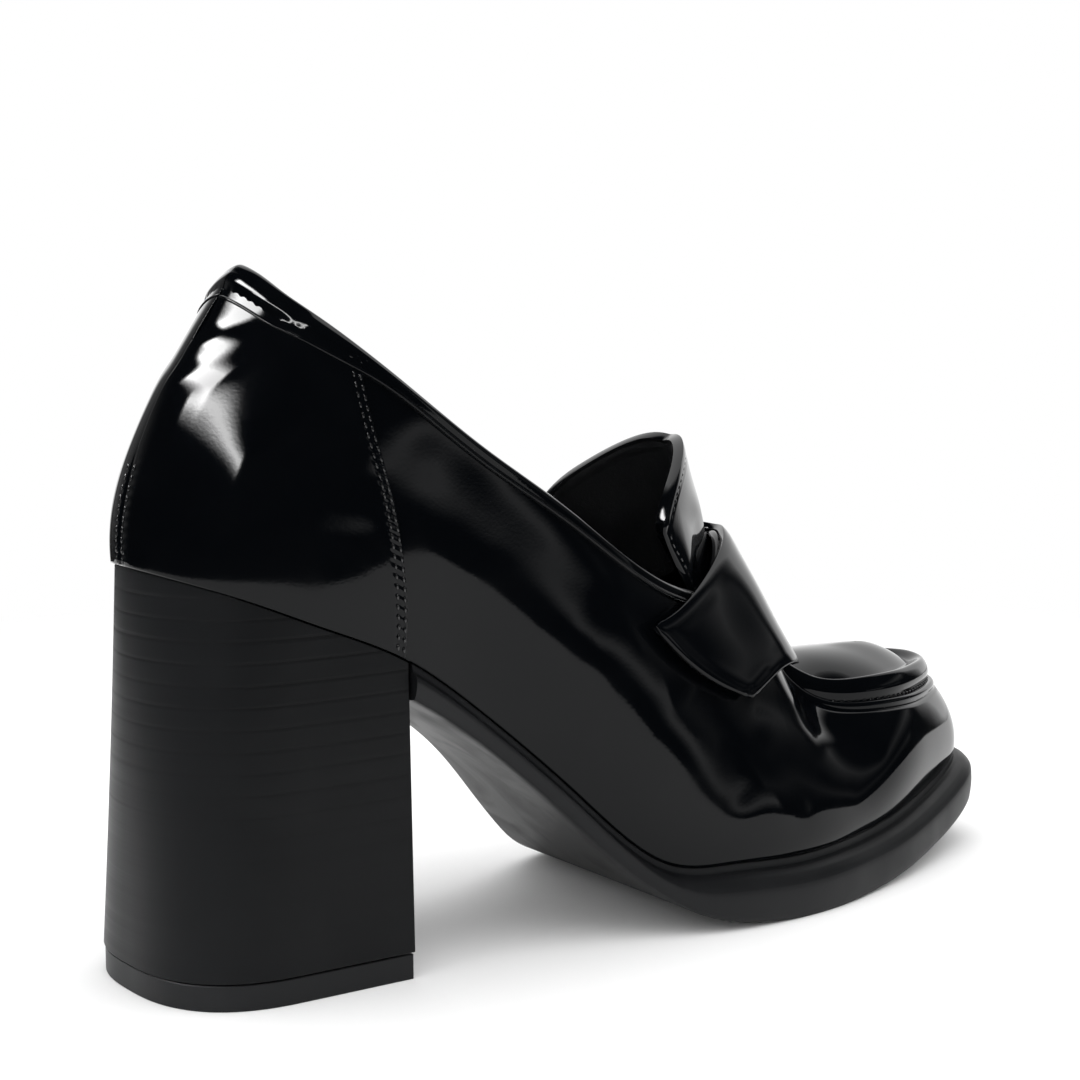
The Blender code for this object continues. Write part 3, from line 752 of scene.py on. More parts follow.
@dataclass(frozen=True)
class StackFinish(Finish):
    """The heel's surface: brushed along its layers, with a faint dark line between them."""

    layer: float = 0.0046
    line: float = 0.14
    brushing: float = 260.0
    fade: tuple[float, float] = (0.020, 0.075)

    def make(self, shared: dict[str, bpy.types.ShaderNodeTree]) -> bpy.types.Material:
        """Builds the material, with level lines in its colour, gloss and relief."""
        material = super().make(shared)
        tree = material.node_tree
        nodes, links = tree.nodes, tree.links
        shader = nodes["Principled BSDF"]
        place = nodes.new("ShaderNodeTexCoord")
        flat = nodes.new("ShaderNodeMapping")
        flat.inputs["Scale"].default_value = (0.015, 0.015, 1)
        brushed = nodes.new("ShaderNodeTexNoise")
        brushed.inputs["Scale"].default_value = self.brushing
        brushed.inputs["Detail"].default_value = 6
        brushed.inputs["Roughness"].default_value = 0.75
        links.new(place.outputs["Object"], flat.inputs["Vector"])
        links.new(flat.outputs["Vector"], brushed.inputs["Vector"])
        parts = nodes.new("ShaderNodeSeparateXYZ")
        links.new(place.outputs["Object"], parts.inputs["Vector"])
        sway = calc(tree, "MULTIPLY", brushed.outputs["Fac"], 0.25)
        level = calc(tree, "ADD", calc(tree, "DIVIDE", parts.outputs["Z"], self.layer), sway)
        near = calc(tree, "PINGPONG", level, 0.5)
        seam = calc(tree, "SUBTRACT", 1.0, calc(tree, "DIVIDE", near, self.line, clamp=True), clamp=True)
        patchy = nodes.new("ShaderNodeTexNoise")
        patchy.inputs["Scale"].default_value = 60
        links.new(place.outputs["Object"], patchy.inputs["Vector"])
        high = nodes.new("ShaderNodeMapRange")
        high.inputs["From Min"].default_value, high.inputs["From Max"].default_value = self.fade
        links.new(parts.outputs["Z"], high.inputs["Value"])
        shows = calc(tree, "MULTIPLY", patchy.outputs["Fac"], high.outputs["Result"])
        seam = calc(tree, "MULTIPLY", seam, shows)
        tint = nodes.new("ShaderNodeMix")
        tint.data_type = "RGBA"
        tint.blend_type = "MULTIPLY"
        tint.inputs["B"].default_value = (0.25, 0.25, 0.25, 1)
        links.new(seam, tint.inputs["Factor"])
        links.new(shader.inputs["Base Color"].links[0].from_socket, tint.inputs["A"])
        links.new(tint.outputs["Result"], shader.inputs["Base Color"])
        rough = calc(tree, "ADD", self.gloss[0] - 0.10, calc(tree, "MULTIPLY", brushed.outputs["Fac"], 0.22))
        links.new(calc(tree, "ADD", rough, calc(tree, "MULTIPLY", seam, 0.15)), shader.inputs["Roughness"])
        height = calc(tree, "SUBTRACT", calc(tree, "MULTIPLY", brushed.outputs["Fac"], 0.5), seam)
        second = nodes.new("ShaderNodeBump")
        second.inputs["Strength"].default_value = 0.30
        second.inputs["Distance"].default_value = 0.0002
        links.new(height, second.inputs["Height"])
        links.new(nodes["Bump"].outputs["Normal"], second.inputs["Normal"])
        links.new(second.outputs["Normal"], shader.inputs["Normal"])
        return material


PATENT = Finish(
    name="patent",
    color=(0.0010, 0.0013, 0.0018),
    worn=(0.0016, 0.0019, 0.0024),
    gloss=(0.05, 0.11),
    bump=0.05,
    bump_depth=0.0006,
    grain=(1400, 110, 0.15),
    specular=0.19,
)
LINING = Finish(
    name="lining",
    color=(0.0020, 0.0022, 0.0026),
    worn=(0.0035, 0.0037, 0.0042),
    gloss=(0.60, 0.80),
    bump=0.5,
    bump_depth=0.0002,
    grain=(2600, 500, 0.6),
    specular=0.12,
)
RUBBER = Finish(
    name="rubber",
    color=(0.0062, 0.0066, 0.0074),
    worn=(0.0090, 0.0095, 0.0105),
    gloss=(0.42, 0.58),
    bump=0.25,
    bump_depth=0.0001,
    grain=(2200, 300, 0.6),
    specular=0.22,
)
THREAD = Finish(
    name="thread",
    color=(0.0060, 0.0064, 0.0070),
    worn=(0.010, 0.010, 0.011),
    gloss=(0.22, 0.30),
    bump=0.4,
    bump_depth=0.0001,
    grain=(6000, 900, 0.5),
    specular=0.6,
)
STACK = StackFinish(
    name="stack",
    color=(0.0022, 0.0026, 0.0032),
    worn=(0.0036, 0.0040, 0.0046),
    gloss=(0.40, 0.50),
    bump=0.1,
    bump_depth=0.0001,
    grain=(1800, 200, 0.5),
    specular=0.16,
)


@dataclass
class Shelf:
    """The materials, by what they cover."""

    patent: bpy.types.Material
    lining: bpy.types.Material
    rubber: bpy.types.Material
    thread: bpy.types.Material
    stack: bpy.types.Material

    @classmethod
    def stocked(cls) -> Shelf:
        """Makes every material from its finish."""
        shared = {"grain": grain_group(), "smudges": smudge_group()}
        return cls(*(finish.make(shared) for finish in (PATENT, LINING, RUBBER, THREAD, STACK)))


# Pieces


class RimLine(NamedTuple):
    """A place up the apron's rim, as a share of its width, and its height off the wall."""

    away: float
    height: float


RIM = [
    RimLine(-0.150, 0.0),
    RimLine(-0.060, -0.00035),
    RimLine(0.030, 0.00045),
    RimLine(0.105, 0.00070),
    RimLine(0.180, 0.00045),
    RimLine(0.262, -0.00030),
    RimLine(0.330, 0.00050),
    RimLine(0.582, 0.00250),
    RimLine(0.750, 0.00300),
    RimLine(0.850, 0.00260),
    RimLine(0.930, 0.00110),
    RimLine(0.985, 0.0),
    RimLine(1.060, -0.00040),
]


class SeamPoint(NamedTuple):
    """Where the apron's seam lies on a section, as a share of the way up its curve."""

    x: float
    v: float


APRON_SEAM = [
    SeamPoint(0.400, 0.660),
    SeamPoint(0.570, 0.780),
    SeamPoint(0.640, 0.740),
    SeamPoint(0.700, 0.650),
    SeamPoint(0.736, 0.598),
    SeamPoint(0.766, 0.562),
    SeamPoint(0.824, 0.522),
    SeamPoint(0.900, 0.488),
    SeamPoint(0.969, 0.462),
    SeamPoint(0.986, 0.460),
]


@dataclass
class Upper:
    """The leather over the last: the quarters and the vamp with its apron and its thread, and the lining."""

    leather: Leather
    shelf: Shelf
    skin: float = 0.0010
    wall_rows: int = 34
    rim_rows: int = 34
    plug_rows: int = 12
    apron_groove: float = 0.262
    dome: float = 0.0009

    def columns(self) -> np.ndarray:
        """The sections of one side."""
        last = self.leather.last
        back = np.linspace(0, last.corner, 76)
        throat = last.throat + (last.corner - last.throat) * last.throat_share(np.linspace(1, 0, 26)[1:])
        vamp = np.linspace(last.throat, 1, 118)[1:]
        return np.concatenate([back, throat, vamp])

    def rim_strength(self, u: np.ndarray) -> np.ndarray:
        """The rim fades out where it runs in under the strap."""
        last = self.leather.last
        return smooth(last.station_at(0.64), last.station_at(0.74), u)

    def seam_at(self, u: np.ndarray) -> np.ndarray:
        """How far up its section the apron's seam lies."""
        last = self.leather.last
        knots = [last.station_at(point.x) for point in APRON_SEAM]
        top = np.where(u < last.throat, last.open_at(u), 1)
        return Rail(knots, column("v", APRON_SEAM), False, True)(u) * top

    def profile(self, side: Side, u: float) -> tuple[np.ndarray, np.ndarray]:
        """Places up one section, and how far the leather stands off the form at each.

        Args:
            side: The side of the foot.
            u: The section.

        Returns:
            The places and the heights.
        """
        last = self.leather.last
        away = column("away", RIM) * SIZES.rim_width
        fine = np.linspace(away[0], away[-1], self.rim_rows)
        heights = Rail(away, column("height", RIM), False, False)(fine)
        rim = last.climb(side, u, float(self.seam_at(u)), fine)
        wall = np.linspace(0, rim[0], self.wall_rows, endpoint=False)
        plug = np.linspace(rim[-1], 1, self.plug_rows + 1)[1:]
        front = np.concatenate([wall, rim, plug])
        dome = heights[-1] + self.dome * smooth(0, 1, np.linspace(0, 1, len(plug) + 1)[1:]) ** 0.7
        off = np.concatenate([0 * wall, heights, dome]) * self.rim_strength(u)
        top = float(last.open_at(u))
        if u >= last.throat:
            return front, off
        back = np.linspace(0, top, len(front))
        share = smooth(last.station_at(0.40), last.throat, u)
        return np.minimum(back * (1 - share) + front * share, top), off * share

    def make_shell(self) -> bpy.types.Object:
        """The quarters and the vamp in one skin, with the apron's seam, groove and raised rim."""
        mesh = bmesh.new()
        for side in SIDES:
            places = []
            for u in self.columns():
                lines, off = self.profile(side, u)
                places.append(self.leather.surface(side, np.full(len(lines), u), lines, off))
            add_sheet(mesh, np.array(places), turned=side == Side.INNER)
        merge(mesh)
        made = finish_piece(mesh, "upper_skin", [self.shelf.patent], ["upper"])
        thicken(made, self.skin)
        return made

    def make_lining(self) -> bpy.types.Object:
        """The lining inside the leather."""
        last = self.leather.last
        mesh = bmesh.new()
        depth = SIZES.wall - 0.0005
        share = np.linspace(0, 1, 30)
        for side in SIDES:
            places = []
            for u in self.columns()[::2]:
                v = share * float(last.open_at(u))
                places.append(last.point(side, u, v) - last.normal(side, np.full(30, u), v) * depth)
            add_sheet(mesh, np.array(places), turned=side == Side.INNER)
        merge(mesh)
        made = finish_piece(mesh, "upper_lining", [self.shelf.lining])
        thicken(made, 0.0005)
        return made

    def make_apron_stitches(self) -> bpy.types.Object:
        """The thread in the groove between the apron's seam and its rim."""
        last = self.leather.last
        mesh = bmesh.new()
        start = last.station_at(0.68)
        paths = []
        for side in SIDES:
            path, out = [], []
            for u in np.linspace(start, 1, 160):
                reach = np.array([self.apron_groove * SIZES.rim_width])
                v = last.climb(side, u, float(self.seam_at(u)), reach)
                path.append(self.leather.surface(side, np.array([u]), v, -0.00012)[0])
                out.append(last.normal(side, np.array([u]), v)[0])
            paths.append((np.array(path), np.array(out)))
        (near, near_out), (far, far_out) = paths
        whole = np.concatenate([near, far[-2::-1]])
        out = np.concatenate([near_out, far_out[-2::-1]])
        StitchRow(pitch=0.0021, length=0.0013, width=0.0007, height=0.0006).sew(mesh, whole, out)
        return finish_piece(mesh, "apron_stitches", [self.shelf.thread])


class SeamPlace(NamedTuple):
    """Where the side seam lies at a height, as a share of the way up to the topline."""

    up: float
    x: float


SIDE_SEAM = [
    SeamPlace(0.00, 0.2205),
    SeamPlace(0.31, 0.2190),
    SeamPlace(0.40, 0.2155),
    SeamPlace(0.58, 0.2060),
    SeamPlace(0.68, 0.1960),
    SeamPlace(0.80, 0.1830),
    SeamPlace(0.93, 0.1710),
    SeamPlace(1.00, 0.1680),
]


@dataclass
class BackPanel:
    """The panel round the heel, sewn over the quarters in two rows, with a seam up its middle."""

    leather: Leather
    shelf: Shelf
    rise: float = 0.0008
    rows_in: tuple[float, float] = (0.0013, 0.0031)
    thread: StitchRow = StitchRow(pitch=0.0022, length=0.0015, width=0.0006, height=0.0005)
    middle_top: float = 0.118

    def grid(self, side: Side) -> tuple[np.ndarray, np.ndarray]:
        """The panel's places on one side.

        Args:
            side: The side of the foot; not used.

        Returns:
            u and v, by column from the middle of the back and by row from the foot.
        """
        last = self.leather.last
        runs = (np.linspace(0, 0.03, 8), np.linspace(0.03, 0.84, 34)[1:], np.linspace(0.84, 1, 30)[1:])
        share = np.concatenate(runs)
        up = np.linspace(0, 1, 170)
        seam = last.station_at(Rail(column("up", SIDE_SEAM), column("x", SIDE_SEAM), False, False)(up))
        u = share[:, None] * seam[None]
        return u, up[None] * last.open_at(u)

    def make(self) -> list[bpy.types.Object]:
        """Builds the panel and its thread.

        Returns:
            The panel and the stitches.
        """
        last = self.leather.last
        mesh, sewn = bmesh.new(), bmesh.new()
        for side in SIDES:
            u, v = self.grid(side)
            base = last.point(side, u, v)
            across = way_along(base)
            inward = across[-1][None] - across
            along = way_along(base, axis=1)
            lift = self.rise * (1 - dip(inward, 0.00045)) - 0.00012
            lift += 0.00018 * dip(inward - 0.0007, 0.0005)
            for row in self.rows_in:
                lift -= pucker(inward - row, along[-1][None], self.thread.pitch)
            low = 1 - smooth(self.middle_top - 0.012, self.middle_top, base[..., 2])
            lift -= 0.0006 * dip(across, 0.0005) * low
            lift -= pucker(across - 0.0014, along, self.thread.pitch, 0.00016) * low
            places = self.leather.surface(side, u, v, lift)
            add_sheet(mesh, places, turned=side == Side.INNER)
            out = last.normal(side, u, v)
            rows = slice(2, 158)
            for row in self.rows_in:
                index = np.abs(inward - row).argmin(0)
                pick = np.arange(u.shape[1])
                path, ways = places[index, pick], out[index, pick]
                self.thread.sew(sewn, self.even(path[rows]) + ways[rows] * 0.0001, ways[rows])
            index = np.abs(across - 0.0014).argmin(0)
            pick = np.arange(u.shape[1])
            keep = base[0, :, 2] < self.middle_top - 0.004
            path, ways = places[index, pick][keep], out[index, pick][keep]
            self.thread.sew(sewn, self.even(path) + ways * 0.0001, ways)
        merge(mesh)
        panel = finish_piece(mesh, "back_panel", [self.shelf.patent])
        thicken(panel, 0.0006)
        thread = finish_piece(sewn, "back_panel_stitches", [self.shelf.thread])
        return [panel, thread]

    @staticmethod
    def even(path: np.ndarray) -> np.ndarray:
        """The path without the small steps from column to column."""
        smoothed = path.copy()
        for _ in range(20):
            smoothed[1:-1] = (smoothed[:-2] + 2 * smoothed[1:-1] + smoothed[2:]) / 4
        return smoothed


class BandHeight(NamedTuple):
    """The collar band's height off the leather, by the distance up from its lower edge."""

    up: float
    height: float


BAND = [
    BandHeight(0.0, -0.00035),
    BandHeight(0.00015, 0.00040),
    BandHeight(0.00040, 0.00090),
    BandHeight(0.00070, 0.00100),
    BandHeight(0.00100, 0.00075),
    BandHeight(0.00130, 0.00045),
    BandHeight(0.00200, 0.00060),
    BandHeight(0.00300, 0.00080),
    BandHeight(0.00450, 0.00125),
    BandHeight(0.00600, 0.00115),
    BandHeight(0.00800, 0.00060),
]


@dataclass
class Collar:
    """The band folded over the topline: wide and padded at the back, a narrow fold at the throat."""

    leather: Leather
    shelf: Shelf
    widths: tuple[float, ...] = (0.0080, 0.0078, 0.0068, 0.0058, 0.0043, 0.0035, 0.0030, 0.0030)
    places: tuple[float, ...] = (0.007, 0.046, 0.089, 0.125, 0.180, 0.260, 0.450, 0.630)
    inner_width: float = 0.0042
    round_over: float = 0.0006
    row_up: float = 0.0024
    covered: tuple[float, float] = (0.53, 0.57)
    sunk: float = 0.0002
    thread: StitchRow = StitchRow(pitch=0.0024, length=0.0016, width=0.0005, height=0.00045)

    def columns(self) -> np.ndarray:
        """The sections of one side, from the middle of the back to the middle of the throat."""
        last = self.leather.last
        back = np.linspace(0, last.corner, 230)
        throat = last.throat + (last.corner - last.throat) * last.throat_share(np.linspace(1, 0, 44)[1:])
        return np.concatenate([back, throat])

    def make(self) -> list[bpy.types.Object]:
        """Builds the band and its thread.

        Returns:
            The band and the stitches.
        """
        last = self.leather.last
        mesh, sewn = bmesh.new(), bmesh.new()
        knots = [last.station_at(x) for x in self.places]
        width = Rail(knots, self.widths)
        up_band = 0.93 * np.linspace(0, 1, 16) ** 1.5
        turn = np.radians([8, 32, 56, 80, 104, 128, 152, 172])
        down = np.array([0.0006, 0.0016, 0.0028, 0.0038])
        paths = []
        for side in SIDES:
            sections, rows, ways = [], [], []
            far, before = 0.0, None
            for u in self.columns():
                top = float(last.open_at(u))
                wide = float(width(u))
                up = up_band * wide
                v = last.climb(side, u, top, up - wide)
                height = np.interp(up, column("up", BAND), column("height", BAND))
                lip = last.point(side, u, top)
                far += 0.0 if before is None else float(np.linalg.norm(lip - before))
                before = lip
                fade = float(1 - smooth(last.station_at(0.16), last.station_at(0.20), u))
                height = height - fade * pucker(up - self.row_up, np.full(len(up), far), self.thread.pitch)
                start, end = (last.station_at(x) for x in self.covered)
                bare = float(1 - smooth(start, end, u))
                height = height * bare - self.sunk * (1 - bare)
                outer = self.leather.surface(side, np.full(len(v), u), v, height)
                out = last.normal(side, np.array([u]), np.array([top]))[0]
                rise = unit(lip - last.point(side, u, top - 0.01))
                if u >= last.throat:
                    rise = unit(rise * np.array([1, 0, 1]))
                middle = lip - out * SIZES.wall / 2
                radius = SIZES.wall / 2 + self.round_over * bare
                over = middle + radius * (np.cos(turn)[:, None] * out + 0.9 * np.sin(turn)[:, None] * rise)
                v_in = last.climb(side, u, top, -down)
                ways_in = last.normal(side, np.full(len(v_in), u), v_in)
                inner = last.point(side, u, v_in) - ways_in * (SIZES.wall + self.round_over * 0.6)
                v_mid = last.climb(side, u, top, np.array([-self.inner_width, -wide * 0.9]))
                hidden = last.point(side, u, v_mid) - last.normal(side, np.full(2, u), v_mid) * SIZES.wall / 2
                sections.append(np.concatenate([outer, over, inner, hidden, outer[:1]]))
                row_v = last.climb(side, u, top, np.array([self.row_up - wide]))
                rows.append(self.leather.surface(side, np.array([u]), row_v, 0.00045)[0])
                ways.append(last.normal(side, np.array([u]), row_v)[0])
            add_sheet(mesh, np.array(sections), turned=side == Side.INNER)
            keep = self.columns() < last.station_at(0.175)
            paths.append((np.array(rows)[keep], np.array(ways)[keep]))
        merge(mesh)
        bmesh.ops.recalc_face_normals(mesh, faces=mesh.faces)
        (near, near_out), (off, off_out) = paths
        row, out = (np.concatenate([a[::-1], b[1:]]) for a, b in ((near, off), (near_out, off_out)))
        self.thread.sew(sewn, row, out)
        band = finish_piece(mesh, "collar_band", [self.shelf.patent])
        thread = finish_piece(sewn, "collar_stitches", [self.shelf.thread])
        return [band, thread]


class StrapRow(NamedTuple):
    """Where the strap's edges lie, and how far off the form, by the share of the way to the middle."""

    across: float
    back_x: float
    back_v: float
    back_up: float
    front_x: float
    front_v: float
    front_up: float


STRAP_ROWS = [
    StrapRow(0.00, 0.467, 0.475, 0.0021, 0.575, 0.400, 0.0021),
    StrapRow(0.33, 0.526, 0.600, 0.0016, 0.625, 0.470, 0.0021),
    StrapRow(0.66, 0.588, 0.735, 0.0007, 0.700, 0.660, 0.0033),
    StrapRow(0.86, 0.616, 0.855, 0.0005, 0.740, 0.860, 0.0035),
    StrapRow(1.00, 0.629, 1.000, 0.0008, 0.760, 1.000, 0.0034),
]


@dataclass
class Strap:
    """The saddle strap over the instep, sewn down at both ends."""

    leather: Leather
    shelf: Shelf
    thickness: float = 0.0020
    late: float = 2.5
    steps: int = 64
    lines: int = 42
    row_in: float = 0.0020
    pull: float = 0.00012
    wave: float = 0.00006
    thread: StitchRow = StitchRow(pitch=0.0022, length=0.0015, width=0.0006, height=0.0005)

    def edges(self, across: float) -> tuple[tuple[float, ...], tuple[float, ...]]:
        """Its back and front edge.

        Args:
            across: The share of the way from its end to the middle.

        Returns:
            u, v and the height off the form, of the back edge and of the front edge.
        """
        knots = column("across", STRAP_ROWS)
        at = {
            name: float(Rail(knots, column(name, STRAP_ROWS), False, not name.endswith("v"))(across))
            for name in StrapRow._fields[1:]
        }
        back, front = (
            (self.leather.last.station_at(at[f"{edge}_x"]), min(at[f"{edge}_v"], 1), at[f"{edge}_up"])
            for edge in ("back", "front")
        )
        return back, front

    def make(self) -> list[bpy.types.Object]:
        """Builds the strap and its thread.

        Returns:
            The strap and the stitches.
        """
        last = self.leather.last
        share = np.linspace(0, 1, self.lines)
        base, out, lift = [], [], []
        places = [(Side.OUTER, a) for a in np.linspace(0, 1, self.steps)]
        places += [(Side.INNER, a) for a in np.linspace(1, 0, self.steps)[1:]]
        for side, across in places:
            back, front = self.edges(across)
            u, v = (back[k] + (front[k] - back[k]) * share for k in (0, 1))
            base.append(last.point(side, u, v))
            way = last.normal(side, u, v)
            out.append(unit(way * np.array([1, 0, 1])) if across >= 1 else way)
            lift.append(back[2] + (front[2] - back[2]) * share**self.late)
        base, out, lift = np.array(base), np.array(out), np.array(lift)
        from_end = way_along(base)
        from_end = np.minimum(from_end, from_end[-1][None] - from_end)
        from_back = way_along(base, axis=1)
        from_front = from_back[:, -1:] - from_back
        rim = np.minimum(np.minimum(from_end, from_back), from_front)
        lift = lift - 0.0004 * dip(rim, 0.0008)
        near_end = 1 - smooth(0.010, 0.012, from_end)
        pulled = dip(from_end - self.row_in, 0.0008) + dip(from_front - self.row_in, 0.0008) * near_end
        waves = np.sin(from_end / 0.0042) * np.sin(from_back / 0.0056 + 0.8) * smooth(0.003, 0.006, rim)
        lift += self.wave * waves - self.pull * pulled
        top = base + out * lift[..., None]
        mesh, sewn = bmesh.new(), bmesh.new()
        add_sheet(mesh, top)
        made = finish_piece(mesh, "strap_band", [self.shelf.patent], ["saddle_strap"])
        thicken(made, self.thickness)
        soften(made, 0.0004, 3)
        half = len(places) // 2
        for rows in (slice(0, half), slice(half, None)):
            ends = from_end[rows]
            index = np.abs(ends - self.row_in).argmin(0)
            pick = np.arange(self.lines)
            inside = np.minimum(from_back, from_front)[rows][index, pick] > self.row_in
            path, ways = top[rows][index, pick][inside], out[rows][index, pick][inside]
            self.thread.sew(sewn, BackPanel.even(path) + ways * 0.0001, ways)
            index = np.abs(from_front[rows] - self.row_in).argmin(1)
            pick = np.arange(len(ends))
            reach = ends[pick, index]
            inside = (reach > self.row_in) & (reach < 0.0105)
            path, ways = top[rows][pick, index][inside], out[rows][pick, index][inside]
            self.thread.sew(sewn, BackPanel.even(path) + ways * 0.0001, ways)
        thread = finish_piece(sewn, "strap_stitches", [self.shelf.thread])
        return [made, thread]


@dataclass
class Tongue:
    """The end of the apron that stands up out of the throat, with leather in front and lining behind."""

    leather: Leather
    shelf: Shelf
    thickness: float = 0.0026
    tuck: float = 0.0080
    rise: float = 0.0275
    wing: float = 0.0235
    end: float = 0.547
    lean: float = 20
    twist: float = 6
    flare: float = 0.16
    steps: int = 91
    lines: int = 56
    row_in: float = 0.0027
    corner: float = 0.0045
    curl_back: float = 0.0030
    curl_forward: float = 0.0040
    breadth: float = 0.0210
    thread: StitchRow = StitchRow(pitch=0.0024, length=0.0016, width=0.0005, height=0.0004)

    def make(self) -> list[bpy.types.Object]:
        """Builds the tongue and its thread.

        Returns:
            The tongue and the stitches.
        """
        last = self.leather.last
        face, out_all = [], []
        wing_u = last.station_at(self.end)
        low = float(last.point(Side.OUTER, wing_u, last.open_at(wing_u))[2])
        top = float(last.point(Side.OUTER, last.throat, 1)[2]) + self.rise
        for way in np.linspace(-1, 1, self.steps):
            side = Side.OUTER if way < 0 else Side.INNER
            u = last.throat + (last.station_at(self.end) - last.throat) * last.throat_share(abs(way))
            v = last.open_at(u)
            base = last.point(side, u, v)
            out = last.normal(side, u, v)
            if abs(way) < 1e-9:
                out = unit(out * np.array([1, 0, 1]))
            lean = math.radians(self.lean + self.twist * way**2)
            up = np.array([-math.sin(lean), self.flare * way, math.cos(lean)])
            rise = self.wing + (self.rise - self.wing) * max(1 - way**4, 0) ** 0.7
            inside = self.corner - min((1 - abs(way)) * self.breadth, self.corner)
            rise -= self.corner - math.sqrt(self.corner**2 - inside**2)
            heights = np.linspace(-self.tuck, rise, self.lines)
            line = base - out * (SIZES.wall + 2 * SIZES.gap) + up * heights[:, None]
            high = np.clip((line[:, 2] - low) / (top - low), 0, 1)
            line[:, 0] += way**2 * (self.curl_forward * high**4 - self.curl_back * np.sin(math.pi * high))
            face.append(line)
            out_all.append(unit(out * np.array([1, 1, 0]))[None].repeat(self.lines, 0))
        face, out = np.array(face), np.array(out_all)
        from_side = way_along(face)
        from_side = np.minimum(from_side, from_side[-1][None] - from_side)
        up = way_along(face, axis=1)
        from_top = up[:, -1:] - up
        rim = np.minimum(from_side, from_top)
        lift = -0.0003 * dip(rim, 0.0008) - 0.00025 * dip(rim - self.row_in, 0.0006)
        lift += 0.0004 * dip(up - self.tuck - 0.010, 0.006) * np.sin(from_side / 0.004)
        face = face + out * lift[..., None]
        mesh, sewn = bmesh.new(), bmesh.new()
        add_sheet(mesh, face)
        materials = [self.shelf.patent, self.shelf.lining]
        made = finish_piece(mesh, "tongue_flap", materials, ["tongue"])
        thicken(made, self.thickness, 1)
        soften(made, 0.0007, 3)
        path, ways = [], []
        for i in range(self.steps):
            row = int(np.abs(from_top[i] - self.row_in).argmin())
            if from_side[i, row] > self.row_in:
                path.append(face[i, row])
                ways.append(out[i, row])
        middle = self.steps // 2
        rows = [j for j in range(self.lines) if up[0, j] > self.tuck and from_top[0, j] > self.row_in]
        near = [int(np.abs(from_side[:middle, j] - self.row_in).argmin()) for j in rows]
        far = [self.steps - 1 - i for i in near]
        path = [face[i, j] for i, j in zip(near, rows)] + path + [face[i, j] for i, j in zip(far, rows)][::-1]
        ways = [out[i, j] for i, j in zip(near, rows)] + ways + [out[i, j] for i, j in zip(far, rows)][::-1]
        ways = np.array(ways)
        self.thread.sew(sewn, BackPanel.even(np.array(path)) + ways * 0.00005, ways)
        thread = finish_piece(sewn, "tongue_stitches", [self.shelf.thread])
        return [made, thread]


class SoleEdge(NamedTuple):
    """The sole's edge at a share of the length: how much ledge it has, and its depth."""

    x: float
    ledge: float
    depth: float


SOLE_EDGES = [
    SoleEdge(0.220, 0.02, 0.60),
    SoleEdge(0.305, 0.04, 0.54),
    SoleEdge(0.400, 0.10, 0.55),
    SoleEdge(0.445, 0.20, 0.55),
    SoleEdge(0.486, 0.50, 0.60),
    SoleEdge(0.515, 0.80, 0.75),
    SoleEdge(0.555, 1.00, 0.95),
    SoleEdge(0.600, 1.00, 1.02),
    SoleEdge(0.780, 1.00, 1.01),
    SoleEdge(0.865, 1.00, 1.00),
    SoleEdge(0.982, 1.00, 1.02),
]


